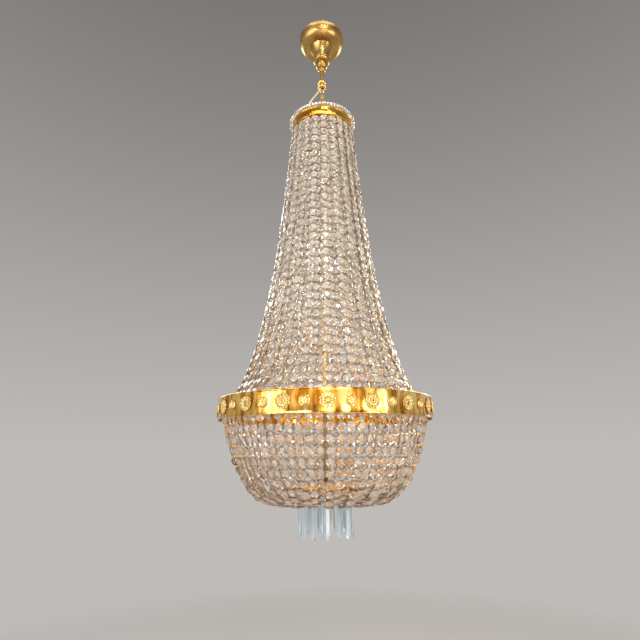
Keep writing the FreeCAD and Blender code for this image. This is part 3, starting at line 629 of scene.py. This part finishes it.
def hang_strings(line, kind, side, group, seed):
    """A third of the strings: their octagons as one piece and their pins as another."""
    rng = random.Random(seed)
    stones, loops = bmesh.new(), bmesh.new()
    pin = as_mesh(long_loop(OCTAGON_PITCH - OCTAGON_SIZE + PIN_OVERLAP, PIN_HALF_WIDTH, PIN_WIRE,
                            4, 3))
    each = STRINGS // 3
    first = FRONT + SECTOR / 2 + (group - 0.5) * each * SECTOR
    for k in range(each):
        around = turn(first + k * SECTOR)
        for i in range(line.count):
            radius, seat = line.seat(line.lead + (i + 0.5) * OCTAGON_PITCH)
            hang = lie(k, radius, rng)
            stamp(stones, octagon_mesh, around @ seat @ hang)
            joint = line.seat(line.lead + (i + 1) * OCTAGON_PITCH)[1]
            stamp(loops, pin, around @ joint @ hang)
        stretch = max(1.0, line.lead / HOOK_LEAD)
        hook = line.seat(line.lead / 2)[1] @ Matrix.Scale(stretch, 4, (1, 0, 0))
        stamp(loops, pin, around @ hook)
    finish_stones(stones, kind + "_crystals_" + side, kind + "_strings_" + side, octagon_rows,
                  seed)
    finish_piece(loops, kind + "_pins_" + side, gold_wire)


for group, side in enumerate(("front", "rear_right", "rear_left")):
    hang_strings(cone_line, "cone", side, group, 10 + group)
    hang_strings(basket_line, "basket", side, group, 20 + group)

# %% [markdown]
# ## Camera
#
# The photograph looks up a little from below the band, from just over a metre away and through
# a wide lens, which is why the crown seems so small.  The small turn and roll put the object
# where it is in the picture.

# %% Camera
CAMERA_PLACE = (0, -1.091, -1.196)
PITCH, PAN, ROLL = 16.08, 0.54, -0.41  # in degrees
IMAGE_SIZE, FOCAL_PIXELS = 640, 456.15
SENSOR = 36.0

camera = add_object("camera", bpy.data.cameras.new("camera"))
bpy.context.scene.camera = camera
camera.data.sensor_width = SENSOR
camera.data.lens = FOCAL_PIXELS / IMAGE_SIZE * SENSOR
aim = turn(math.radians(PAN)) @ turn(QUARTER + math.radians(PITCH), "X")
camera.matrix_world = Matrix.Translation(CAMERA_PLACE) @ aim @ turn(math.radians(ROLL))
print("lens", round(camera.data.lens, 2), "mm")
bpy.context.scene.view_settings.view_transform = "Standard"

# %% [markdown]
# ## Light and room
#
# Glass and polished metal show the room more than themselves.  An even white room would leave
# them flat, so the room here is pale round the horizon and greyer overhead, and soft boxes
# stand round it.  A large weak warm card fills the gold, and three small bright boxes strike
# sparks from the crystal.  The boxes show in reflections but not to the camera.

# %% Room
room = Shading(bpy.data.worlds.new("room"), "Background", "Generated")
shades = [(0.0, (0.52, 0.50, 0.48)), (0.25, (0.42, 0.40, 0.385)),
          (0.6, (0.27, 0.255, 0.245)), (1.0, (0.10, 0.095, 0.09))]
bpy.context.scene.world = room.finish({"Color": room.ramp(room.part("Z"), shades)})

MIDDLE = Vector((0, 0, -0.95))
WHITE = (1, 1, 1)
SOFT_BOXES = (  # name, place, width, height, radiance, colour
    ("window", (-2.0, -1.6, -0.6), 1.5, 2.0, 3.0, (0.97, 0.98, 1.0)),
    ("strip", (1.7, -1.2, -0.8), 0.45, 1.8, 5.6, (1.0, 0.93, 0.84)),
    ("by_camera", (0.5, -1.9, -0.5), 0.6, 0.6, 3.6, (1.0, 0.95, 0.88)),
    ("warm_card", (0.2, -2.9, -1.3), 3.6, 1.8, 0.75, (1.0, 0.80, 0.50)),
    ("overhead", (0.0, -0.4, 0.9), 1.2, 1.2, 3.0, WHITE),
    ("rear_cool", (-1.3, 1.6, 0.1), 0.6, 1.3, 8.0, (0.90, 0.95, 1.0)),
    ("rear_warm", (1.2, 1.6, -0.1), 0.6, 1.3, 8.0, (1.0, 0.88, 0.74)),
    ("spark_left", (-1.0, -1.8, -0.1), 0.25, 0.25, 34.0, (0.95, 0.98, 1.0)),
    ("spark_right", (1.5, -1.8, -0.75), 0.25, 0.25, 30.0, (1.0, 0.92, 0.82)),
    ("spark_high", (0.3, -1.5, 0.4), 0.25, 0.25, 34.0, WHITE),
    ("low_warm", (0.3, -1.7, -1.65), 0.8, 0.5, 2.0, (1.0, 0.86, 0.70)),
)


def soft_box(name, place, width, height, radiance, colour):
    """A rectangular lamp that looks at MIDDLE; its power follows from its brightness."""
    lamp = bpy.data.lights.new(name, "AREA")
    lamp.shape = "RECTANGLE"
    lamp.size, lamp.size_y = width, height
    lamp.energy = radiance * math.pi * width * height
    lamp.color = colour
    box = add_object(name, lamp)
    facing = (MIDDLE - Vector(place)).to_track_quat("-Z", "Y").to_matrix().to_4x4()
    box.matrix_world = Matrix.Translation(place) @ facing
    box.visible_camera = False


for row in SOFT_BOXES:
    soft_box(*row)
print(len(SOFT_BOXES), "soft boxes")

# %% [markdown]
# ## Floor
#
# A plain pale disc far below the object catches its soft shadow.  Towards its rim it fades
# out, so no hard horizon crosses the picture.

# %% Floor
FLOOR_DROP = 2.1
FLOOR_FADE, FLOOR_GONE = 2.3, 3.36  # distances from the origin, over the floor's middle
FLOOR_RADIUS = 4.2
paint = surface("pale_floor")
fade = paint.ranged(paint.distance(paint.place), 1.0, 0.0, FLOOR_FADE, FLOOR_GONE,
                    "SMOOTHSTEP")
floor_paint = paint.finish({"Base Color": (0.60, 0.585, 0.57, 1.0), "Roughness": 0.8,
                            "Alpha": fade})
bm = bmesh.new()
bmesh.ops.create_circle(bm, cap_ends=True, segments=96, radius=FLOOR_RADIUS,
                        matrix=Matrix.Translation((0, 0, -FLOOR_DROP)))
floor = add_object("floor", as_mesh(bm))
floor.data.materials.append(floor_paint)
print("floor ready")

# %% [markdown]
# ## The canopy
#
# The canopy is three spun and turned pieces on the stem: a shallow dish against the ceiling, a
# flared bell under it, and a turned collar that a small screw clamps to the stem.  Each is one
# profile spun about the axis: for the dish, its outer line and, a sheet's thickness inside,
# the same line back.

# %% Canopy dish and bell
dish_top, dish_bottom = top_and_bottom("canopy_dish")
dish_radius = outer_radius("canopy_dish")
DISH_RIM, DISH_FLAT = 7.0, 47.0  # depth of the upright rim and radius of the flat
STEM_HOLE = 6.5
SHEET, RIM_ROLL = 1.0, 1.4
REEDS, REED_DEPTH = 64, 0.5
REEDED_SHARE = 0.75  # of the dish's depth, down from its rim


def dish_line(inset):
    """The dish from its rim to its flat, drawn in by the thickness of the sheet."""
    wide = dish_radius - inset - DISH_FLAT
    deep = -DISH_RIM - dish_bottom - inset
    angles = [QUARTER * i / 12 for i in range(13)]
    return [(DISH_FLAT + wide * math.cos(a), -DISH_RIM - deep * math.sin(a)) for a in angles]


def reed(bm, top, bottom):
    """Press upright reeds into the sheet between two heights, fading out at both."""
    for v in bm.verts:
        share = (top - v.co.z / MM) / (top - bottom)
        if 0 < share < 1:
            wave = (1 - math.cos(REEDS * math.atan2(v.co.y, v.co.x))) / 2
            pressed = REED_DEPTH * MM * wave * math.sin(math.pi * share)
            v.co.xy *= 1 - pressed / v.co.xy.length


outside, inside = dish_line(0.0), dish_line(SHEET)
rim_bead = arc((dish_radius - RIM_ROLL, dish_top - RIM_ROLL), RIM_ROLL, 90, -60, 8)
dish = spun(rim_bead + outside + [(STEM_HOLE, dish_bottom), (STEM_HOLE, dish_bottom + SHEET)]
            + inside[::-1] + [(dish_radius - RIM_ROLL - SHEET, dish_top)], steps=4 * REEDS)
reed(dish, -DISH_RIM, -DISH_RIM + REEDED_SHARE * (dish_bottom + DISH_RIM))
finish_piece(dish, "dish", gold_satin, ["canopy_dish"], "canopy")

bell_top, bell_bottom = top_and_bottom("canopy_bell")
BELL_RADII = (34.0, 26.0, 22.0)


def bell_line(inset):
    """Three radii joined by a soft curve, top to bottom."""
    steps = [i / 14 for i in range(15)]
    a, b, c = BELL_RADII
    knee = 2 * (2 * b - (a + c) / 2)
    curve = [a * (1 - t) ** 2 + knee * t * (1 - t) + c * t ** 2 for t in steps]
    return [(r - inset, bell_top + (bell_bottom + inset - bell_top) * t)
            for r, t in zip(curve, steps)]


bell = spun(bell_line(0.0) + [(STEM_HOLE, bell_bottom), (STEM_HOLE, bell_bottom + SHEET)]
            + bell_line(SHEET)[::-1])
finish_piece(soften(bell, 0.4), "bell", gold_satin, ["canopy_bell"], "canopy")

# %% [markdown]
# ## Collar
#
# The collar is turned from the bar: a broad bead, a groove, a knob and a taper to the stem.
# Its round parts are arcs in the profile.

# %% Collar
collar_top, collar_bottom = top_and_bottom("canopy_collar")
STEM_RADIUS, STEM_WALL = 5.0, 1.8
COLLAR_BORE = STEM_RADIUS + 0.05
collar = (
    [(COLLAR_BORE, collar_top), (21.0, collar_top)]
    + arc((18.0, collar_top - 7.0), 6.0, 70, -70, 10)
    + [(13.4, collar_top - 14.0), (13.4, collar_top - 16.0)]
    + arc((9.2, collar_top - 24.5), 7.8, 62, -58, 10)
    + [(12.2, collar_top - 33.5), (12.8, collar_top - 35.0)]
    + arc((8.0, collar_top - 39.0), 3.6, 60, -60, 6)
    + [(8.0, collar_bottom + 2.5), (7.2, collar_bottom), (COLLAR_BORE, collar_bottom)])
finish_piece(spun(collar), "collar", gold_satin, ["canopy_collar"], "canopy")

# %% [markdown]
# ## Stem, hook and balls
#
# The stem is a plain tube.  Its plug carries two rows of small balls, a common ornament that
# also hides the thread, and below the plug is the fixed eye that the link hangs in.

# %% Stem and hook
stem_top, stem_bottom = top_and_bottom("suspension_stem")
stem = pipe(STEM_RADIUS, STEM_WALL, stem_top, stem_bottom, 48)
finish_piece(soften(stem, 0.3), "stem", gold_spun, ["suspension_stem"], "ceiling_mount")

hook_top, hook_bottom = top_and_bottom("stem_hook")
PLUG_HEIGHT, PLUG_RADIUS = 30.0, 7.5
BALL_RADIUS, BALL_CIRCLE = 4.6, 8.2
BALLS = 6  # in each row
BALL_DROPS = (0.27, 0.70)  # the rows' places, as shares of the plug's height
EYE_RADIUS, EYE_WIRE = 5.0, 1.5
plug_bottom = hook_top - PLUG_HEIGHT + LIP
outline = ([(0, hook_top), (6.0, hook_top)]
           + arc((5.0, hook_top - 2.2), 2.0, 60, -40, 5)
           + [(4.6, hook_top - PLUG_HEIGHT * 0.48)]
           + arc((4.4, plug_bottom + 4.5), PLUG_RADIUS - 4.4, 60, -70, 6)
           + [(3.0, plug_bottom), (0, plug_bottom)])
plug = spun(outline, steps=48, closed=False)


def add_eye(bm, height):
    """A ring of wire that stands in the XZ plane."""
    stamp(bm, as_mesh(wire_ring(EYE_RADIUS, EYE_WIRE)), move(0, 0, height) @ turn(QUARTER, "X"))


def hook_balls():
    bm = bmesh.new()
    ball = bmesh.new()
    bmesh.ops.create_uvsphere(ball, u_segments=20, v_segments=12, radius=BALL_RADIUS * MM)
    ball = as_mesh(ball)
    for row, drop in enumerate(BALL_DROPS):
        for i in range(BALLS):
            around = turn(math.tau * (i + row / 2) / BALLS)
            stamp(bm, ball, around @ move(BALL_CIRCLE, 0, hook_top - PLUG_HEIGHT * drop))
    add_eye(bm, hook_bottom + EYE_RADIUS + EYE_WIRE)
    return bm


finish_piece(plug, "hook_plug", gold_shaded, ["stem_hook"], "ceiling_mount")
finish_piece(hook_balls(), "hook_balls", gold_cast, body="ceiling_mount")

# %% [markdown]
# ## Link and bail
#
# The link is a long loop like the pins, upright and square to the hook's eye.  The bail under
# it is an upside-down V with an eye on top and two feet that stand on the crown's arms.

# %% Link and bail
LINK_WIRE = 1.5
BAIL_LEG, BAIL_KNUCKLE = 2.6, 3.6
BAIL_FOOT, BAIL_FOOT_TOP = 5.0, 4.0  # radii
BAIL_FOOT_HEIGHT = 4.0
low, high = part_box("hanging_link")
half_width = (high.y - low.y) / 2 / MM - LINK_WIRE
straight = (high.z - low.z) / MM - 2 * (half_width + LINK_WIRE)
link = long_loop(straight, half_width, LINK_WIRE, 12, 14)
upright = turn(-QUARTER) @ turn(-QUARTER, "Y")
bmesh.ops.transform(link, verts=link.verts[:],
                    matrix=Matrix.Translation((0, 0, (low.z + high.z) / 2)) @ upright)
finish_piece(link, "link", gold_satin, ["hanging_link"], "link")


def bail_piece():
    low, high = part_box("crown_bail")
    spread = high.x - BAIL_FOOT * MM
    bm = bmesh.new()
    eye_height = high.z / MM - (EYE_RADIUS + EYE_WIRE)
    add_eye(bm, eye_height)
    crotch = Vector((0, 0, (eye_height - EYE_RADIUS) * MM))
    for side in (-1, 1):
        foot = Vector((side * spread, 0, low.z + BAIL_FOOT_HEIGHT / 2 * MM))
        rod = foot - crotch
        lean = rod.to_track_quat("Z", "Y").to_matrix().to_4x4()
        bmesh.ops.create_cone(bm, cap_ends=True, segments=20, radius1=BAIL_LEG * MM,
                              radius2=BAIL_LEG * MM, depth=rod.length,
                              matrix=Matrix.Translation((foot + crotch) / 2) @ lean)
        bmesh.ops.create_cone(bm, cap_ends=True, segments=28, radius1=BAIL_FOOT * MM,
                              radius2=BAIL_FOOT_TOP * MM, depth=BAIL_FOOT_HEIGHT * MM,
                              matrix=Matrix.Translation(foot))
    bmesh.ops.create_uvsphere(bm, u_segments=20, v_segments=12, radius=BAIL_KNUCKLE * MM,
                              matrix=Matrix.Translation(crotch))
    return bm


finish_piece(bail_piece(), "bail", gold_satin, ["crown_bail"])

# %% [markdown]
# ## The crown hoop
#
# The crown is a plain gilt hoop with a rolled foot, which shows as the bright line under it,
# and an inward flange that the strings hook into.

# %% Crown hoop
CROWN_RADIUS, CROWN_SHEET = 84.0, 1.5
FLANGE_WIDTH, FLANGE = 14.0, 2.0
CROWN_ROLL = 1.3
foot = crown_bottom + LIP
roll_middle = CROWN_RADIUS - CROWN_SHEET / 2
inner = CROWN_RADIUS - CROWN_SHEET
outline = (arc((roll_middle, crown_top - CROWN_ROLL), CROWN_ROLL, 220, -40, 12)
           + arc((roll_middle, crown_bottom + CROWN_ROLL), CROWN_ROLL, 40, -90, 8)
           + [(inner, foot), (CROWN_RADIUS - FLANGE_WIDTH, foot),
              (CROWN_RADIUS - FLANGE_WIDTH, foot + FLANGE), (inner, foot + FLANGE)])
crown = spun(outline, steps=144)
finish_piece(crown, "crown", gold_beaten, ["crown_hoop"])

# %% [markdown]
# ## The crown's beads
#
# A row of small cut beads stands round the outer edge of the crown.  Each is a squat
# eight-sided ball threaded on a wire, so its axis runs along the hoop.

# %% Crown beads
BEADS, BEAD_RADIUS = 60, 4.6
BEAD_SETTLE = 1.8  # how far the threaded row sinks towards the hoop's rim
BEAD_ROWS = ((0.5, 1.0), (0.86, 0.72), (1.0, 0.3))  # radius and place along the axis
BEAD_TINT_ROWS = (1, 2, 1, 3, 2)  # the octagon's rows whose tints the facets take in turn


def bead_mesh():
    """A cut bead about Y: rows of eight facets that step in to a flat at each end."""
    half = BEAD_RADIUS * math.cos(math.pi / BEADS)
    rows = [(BEAD_RADIUS * r, half * y) for r, y in BEAD_ROWS]
    rows += [(r, -y) for r, y in rows[::-1]]
    bm = spun([(0, half)] + rows + [(0, -half)], steps=8, closed=False)
    bmesh.ops.transform(bm, verts=bm.verts[:], matrix=turn(QUARTER, "X"))
    return as_mesh(bm)


def bead_row():
    bead = bead_mesh()
    circle = BEADS * BEAD_RADIUS / math.pi
    height = top_and_bottom("crown_beads")[1] + BEAD_RADIUS - BEAD_SETTLE
    rng = random.Random(5)
    bm = bmesh.new()
    for i in range(BEADS):
        rolled = turn(rng.uniform(0, math.pi), "Y")
        stamp(bm, bead, turn(i * math.tau / BEADS) @ move(circle, 0, height) @ rolled)
    return bm


# the beads take the crystal's painted reflection and painted shade tints
finish_stones(bead_row(), "crown_bead_row", "crown_beads", BEAD_TINT_ROWS, 6)

# %% [markdown]
# ## The band
#
# The band is a strip of sheet with a rolled bead along each edge.  The strings hook into a
# flat ring inside it.

# %% Band hoop
BAND_SHEET, BAND_ROLL = 1.5, 1.6
BAND_FLAT = 5.0  # where the sheet starts, in from each edge
wall = outer_radius("band_hoop") - BAND_ROLL
outside = wall + BAND_SHEET / 2
inside = wall - BAND_SHEET / 2
top = arc((wall, BAND_TOP - BAND_ROLL), BAND_ROLL, 210, -30, 14)
foot = arc((wall, BAND_BOTTOM + BAND_ROLL), BAND_ROLL, 30, -210, 14)
high, low = BAND_TOP - BAND_FLAT, BAND_BOTTOM + BAND_FLAT
band = spun(top + [(outside, high), (outside, low)] + foot + [(inside, low), (inside, high)],
            steps=240)
finish_piece(band, "band", gold_sheet, ["band_hoop"])

# %% [markdown]
# ## Large rosettes
#
# The large rosettes are pierced castings: ten looped petals round a ring of small leaves, with
# an open dark centre.  Each petal is a ring of wire with a bud in it, so it stays light and
# open as in the photograph.

# %% Large rosettes
ROSETTES, ROSETTE_PHASE = 18, 1.2
PETALS, PETAL_CIRCLE = 10, 11.6
LARGE_LEAN, SMALL_LEAN = 0.37, 0.6  # how each rosette is turned against the one before
BAND_MIDDLE = (BAND_TOP + BAND_BOTTOM) / 2


def squashed_ball(radius, stretch, segments=10, rings=6):
    """A ball scaled to an egg or a leaf; stretch holds the three scale factors."""
    bm = bmesh.new()
    bmesh.ops.create_uvsphere(bm, u_segments=segments, v_segments=rings, radius=radius * MM)
    bmesh.ops.scale(bm, vec=stretch, verts=bm.verts[:])
    return as_mesh(bm)


def large_rosette():
    bm = bmesh.new()
    stamp(bm, as_mesh(pipe(7.6, 4.4, 1.0, 0.3, 40)), move(0, 0, 0))
    petal = as_mesh(wire_ring(3.3, 0.95, steps=16, sides=7))
    bud = squashed_ball(1.5, (1.2, 0.8, 0.7))
    leaf = squashed_ball(2.3, (1.25, 0.62, 0.5))
    bead = squashed_ball(0.95, (1, 1, 1), 8, 5)
    for i in range(PETALS):
        out, between = (turn(math.tau * (i + half) / PETALS) for half in (0, 0.5))
        stamp(bm, petal, out @ move(PETAL_CIRCLE, 0, 1.5) @ turn(0.18, "Y"))
        stamp(bm, bud, out @ move(PETAL_CIRCLE, 0, 1.4))
        stamp(bm, leaf, between @ move(7.2, 0, 1.9) @ turn(-0.25, "Y"))
        stamp(bm, bead, between @ move(9.9, 0, 2.0))
    stamp(bm, as_mesh(wire_ring(3.4, 0.8, steps=24, sides=8)), move(0, 0, 2.2))
    return as_mesh(bm)


def on_band(index, phase):
    """Stand a rosette made about Z on the band, facing out."""
    angle = FRONT + math.radians(ROSETTE_PHASE + phase + index * 360.0 / ROSETTES)
    return turn(angle) @ move(BAND_SHEET_RADIUS + 0.1, 0, BAND_MIDDLE) @ turn(QUARTER, "Y")


def rosette_row(one, phase, lean):
    bm = bmesh.new()
    for i in range(ROSETTES):
        stamp(bm, one, on_band(i, phase) @ turn(lean * i))
    return bm


finish_piece(rosette_row(large_rosette(), 0.0, LARGE_LEAN), "large_rosette_row", gold_relief,
             ["large_rosettes"], crease=50)

# %% [markdown]
# ## Small rosettes
#
# Between them sit small roses: a raised ring round three overlapping rows of petals, each row
# tilted a little more upright than the one outside it.

# %% Small rosettes
ROSE_RADIUS = 9.4
# count, circle, size and tilt of each row's petals
ROSE_ROWS = ((6, 4.9, 3.0, 0.35), (5, 3.0, 2.4, 0.6), (3, 1.4, 1.6, 0.9))


def small_rosette():
    bm = bmesh.new()
    stamp(bm, as_mesh(pipe(ROSE_RADIUS, ROSE_RADIUS, 1.0, 0.2, 40)), move(0, 0, 0))
    stamp(bm, as_mesh(wire_ring(ROSE_RADIUS, 1.1, steps=36, sides=7)), move(0, 0, 1.2))
    for row, (count, circle, size, tilt) in enumerate(ROSE_ROWS):
        petal = squashed_ball(size, (0.72, 1.1, 0.34), 12, 7)
        for i in range(count):
            out = turn(math.tau * (i + 0.35 * row) / count)
            tilted = move(circle, 0, 1.4 + 0.45 * row) @ turn(-tilt, "Y")
            stamp(bm, petal, out @ tilted @ turn(0.35))
    stamp(bm, squashed_ball(1.5, (1, 1, 0.8)), move(0, 0, 2.3))
    return as_mesh(bm)


finish_piece(rosette_row(small_rosette(), 180.0 / ROSETTES, SMALL_LEAN), "small_rosette_row",
             gold_relief, ["small_rosettes"], crease=50)

# %% [markdown]
# ## Tube, lower ring and finial
#
# A brass tube runs down the middle and carries everything.  The lower ring closes the basket,
# and a plate inside it holds the prisms.  A turned nut closes the tube.

# %% Tube, lower ring, finial
tube_top, tube_bottom = top_and_bottom("central_tube")
TUBE_RADIUS, WALL = 5.0, 1.5
TUBE_BLEND = 30.0  # how far past the band's edges the tube's painted shade fades in
# painted shade: bright gold above the band, and dark brown below it, where the basket shades it
brass = surface("gilt_tube")
height = brass.ranged(brass.part("Z"), 0.0, 1.0, (BAND_BOTTOM - TUBE_BLEND) * MM,
                      (BAND_TOP + TUBE_BLEND) * MM)
tints = [(0.0, (0.34, 0.24, 0.13)), (0.4, (0.42, 0.28, 0.13)), (1.0, GOLD_BRIGHT)]
tube_brass = brass.finish({"Metallic": 1.0, "Base Color": brass.ramp(height, tints),
                           "Roughness": brass.ranged(brass.noise(140.0, 4.0), 0.2, 0.4)})
tube = pipe(TUBE_RADIUS, WALL, tube_top, tube_bottom, 40)
finish_piece(soften(tube, 0.3), "tube", tube_brass, ["central_tube"])
lower = pipe(outer_radius("lower_ring"), WALL, lower_top, lower_bottom, 120)
finish_piece(soften(lower, 0.5), "lower_hoop", gold_spun, ["lower_ring"])

finial_top, finial_bottom = top_and_bottom("finial")
knob = ([(0, finial_top), (6.0, finial_top)]
        + arc((4.6, finial_top - 6.0), 4.4, 60, -60, 8)
        + [(4.0, finial_bottom + 0.6), (0, finial_bottom)])
finish_piece(spun(knob, steps=56, closed=False), "finial_knob", gold_cast, ["finial"])

# %% [markdown]
# ## Lamps
#
# Six small candle bulbs stand on the band's arms, out of sight behind the strings.  They are
# not lit in the photograph.  A bulb is a clear envelope on a screw cap, and the envelope's
# profile is an egg drawn to a point.

# %% Lamps
LAMPS, LAMP_CIRCLE = 6, 105.0
holder_top, holder_bottom = top_and_bottom("lamp_holders")
bulb_top, bulb_bottom = top_and_bottom("bulbs")
CAP_RADIUS = 7.0
THREADS, THREAD_DEPTH, THREAD_STEP = 12, 0.7, 2.0
BULB_RADIUS, BULB_WALL = 17.5, 0.8
NECK = 0.36  # the envelope's width at its foot, as a share of its largest
WIDEST = 0.42  # share of the envelope's height where it is widest
POINT = 0.85  # below 1 the tip is blunter


def round_lamps(profile, closed=False):
    """Stand six copies of a turned part on the lamps' circle."""
    one = as_mesh(spun(profile, steps=40, closed=closed))
    bm = bmesh.new()
    for i in range(LAMPS):
        stamp(bm, one, turn(math.tau * i / LAMPS) @ move(LAMP_CIRCLE, 0, 0))
    return bm


HOLDER = ((0, 0), (11.5, 0), (13.0, 1.5), (17.6, 6.6), (18.0, 8.0), (16.9, 8.0), (13.0, 4.0),
          (13.0, holder_top - holder_bottom), (11.5, holder_top - holder_bottom), (11.5, 2.5),
          (0, 2.5))
holder = [(r, holder_bottom + z) for r, z in HOLDER]
finish_piece(round_lamps(holder), "sockets", gold_spun, ["lamp_holders"])

neck = holder_top + 0.5
thread = [(CAP_RADIUS - THREAD_DEPTH * (i % 2), bulb_bottom + 0.5 + THREAD_STEP * i)
          for i in range(THREADS)]
cap_line = [(0, bulb_bottom)] + thread + [(5.5, neck - 4), (0, neck - 4)]
finish_piece(round_lamps(cap_line), "bulb_caps", gold_wire)


def envelope_line(inset):
    steps = [i / 24 for i in range(25)]
    tall = bulb_top - neck - inset
    width = BULB_RADIUS - inset
    shape = [NECK + (1 - NECK) * math.sin(QUARTER * t / WIDEST) if t < WIDEST
             else math.cos(QUARTER * (t - WIDEST) / (1 - WIDEST)) ** POINT for t in steps]
    return [(width * s, neck + tall * t) for s, t in zip(shape, steps)]


# %% [markdown]
# ### Bulb glass
#
# Thin clear glass needs both of its walls, or light bends through it as through a solid lens.

# %% Bulb glass
glass = surface("bulb_glass")
cloud = glass.noise(60.0)
tints = [(0.3, (0.96, 0.9504, 0.9312)), (0.7, (1.0, 0.99, 0.97))]
clear_glass = glass.finish({"Transmission Weight": 1.0, "IOR": 1.5,
                            "Base Color": glass.ramp(cloud, tints),
                            "Roughness": glass.ranged(cloud, 0.0, 0.04)})
envelope = (envelope_line(0.0)[:-1] + [(0, bulb_top), (0, bulb_top - BULB_WALL)]
            + envelope_line(BULB_WALL)[-2::-1])
finish_piece(round_lamps(envelope, closed=True), "bulb_envelopes", clear_glass, ["bulbs"])

# %% [markdown]
# ## Supply cable
#
# A thin cable leaves the hook, swings out to the side and comes back to a hole in the tube.
# Its line is a smooth spline over the same points as the imported model.

# %% Cable
CABLE_RADIUS = 2.5
CABLE_ROUTE = ((-4.0, -7.0, -187.5), (-15.0, -20.5, -218.5), (-27.0, -36.0, -249.5),
               (-35.5, -47.0, -274.0), (-32.5, -43.0, -301.0), (-19.3, -25.5, -319.0),
               (-3.3, -4.3, -319.0))
SHEATH_TINTS = [(0.35, (0.50, 0.36, 0.20)), (0.65, (0.72, 0.58, 0.40))]
sheath = plain_finish("cable_sheath", 0.0, 240.0, 2.0, SHEATH_TINTS, (0.25, 0.4), 0.0002)
cable_line = bpy.data.curves.new("cable", "CURVE")
cable_line.dimensions = "3D"
cable_line.bevel_depth = CABLE_RADIUS * MM
cable_line.bevel_resolution = 4
cable_line.use_fill_caps = True
spline = cable_line.splines.new("NURBS")
spline.points.add(len(CABLE_ROUTE) - 1)
for point, (x, y, z) in zip(spline.points, CABLE_ROUTE):
    point.co = (x * MM, y * MM, z * MM, 1.0)
spline.order_u = 3
spline.use_endpoint_u = True
spline.resolution_u = 16
cable = add_object("cable", cable_line)
cable_line.materials.append(sheath)
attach(cable, "chandelier")
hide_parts("supply_cable")
print("cable points", len(CABLE_ROUTE))

# %% [markdown]
# ## Frame nodes that stay
#
# Flat bars, plates, nuts and the cut prisms already have their real shape in the frame.  They
# only need their finish.

# %% Finishes for the frame's own nodes
# bars of drawn and cut crystal: clear, with fine streaks that run along the bar, coloured blue,
# white and warm as painted reflections
glass = surface("prism_crystal")
along = glass.add("Mapping", "Vector", {"Vector": glass.place, "Scale": (1.0, 1.0, 0.03)})
streak = glass.noise(330.0, 2.0, along)
tints = [(0.32, (0.36, 0.52, 0.72)), (0.42, (0.76, 0.90, 1.0)), (0.54, (0.90, 0.97, 1.0)),
         (0.62, (0.54, 0.70, 0.86)), (0.72, (0.90, 0.80, 0.66))]
drawn_crystal = glass.finish({"Transmission Weight": 0.62, "IOR": 1.6,
                              "Base Color": glass.ramp(streak, tints),
                              "Roughness": glass.ranged(streak, 0.0, 0.08)})
PRISMS = 13
zinc_plate = plain_finish("zinc_plate", 1.0, 90.0, 4.0,
                          [(0.3, (0.48, 0.48, 0.47)), (0.7, (0.66, 0.66, 0.65))],
                          (0.3, 0.5), 0.0002)
moulded_plastic = plain_finish("terminal_plastic", 0.0, 400.0, 3.0,
                               [(0.3, (0.70, 0.69, 0.64)), (0.7, (0.78, 0.77, 0.72))],
                               (0.35, 0.5), 0.0001)
give(["ceiling_bracket", "bracket_nut", "collar_screw"], zinc_plate)
give(["terminal_block"], moulded_plastic)
give(["crown_spider", "band_spider", "string_ring", "tube_nuts", "lower_plate"], gold_spun)
give(["prism_%02d" % (i + 1) for i in range(PRISMS)], drawn_crystal)
give(["prism_loop_%02d" % (i + 1) for i in range(PRISMS)], gold_wire)
print("finishes given")
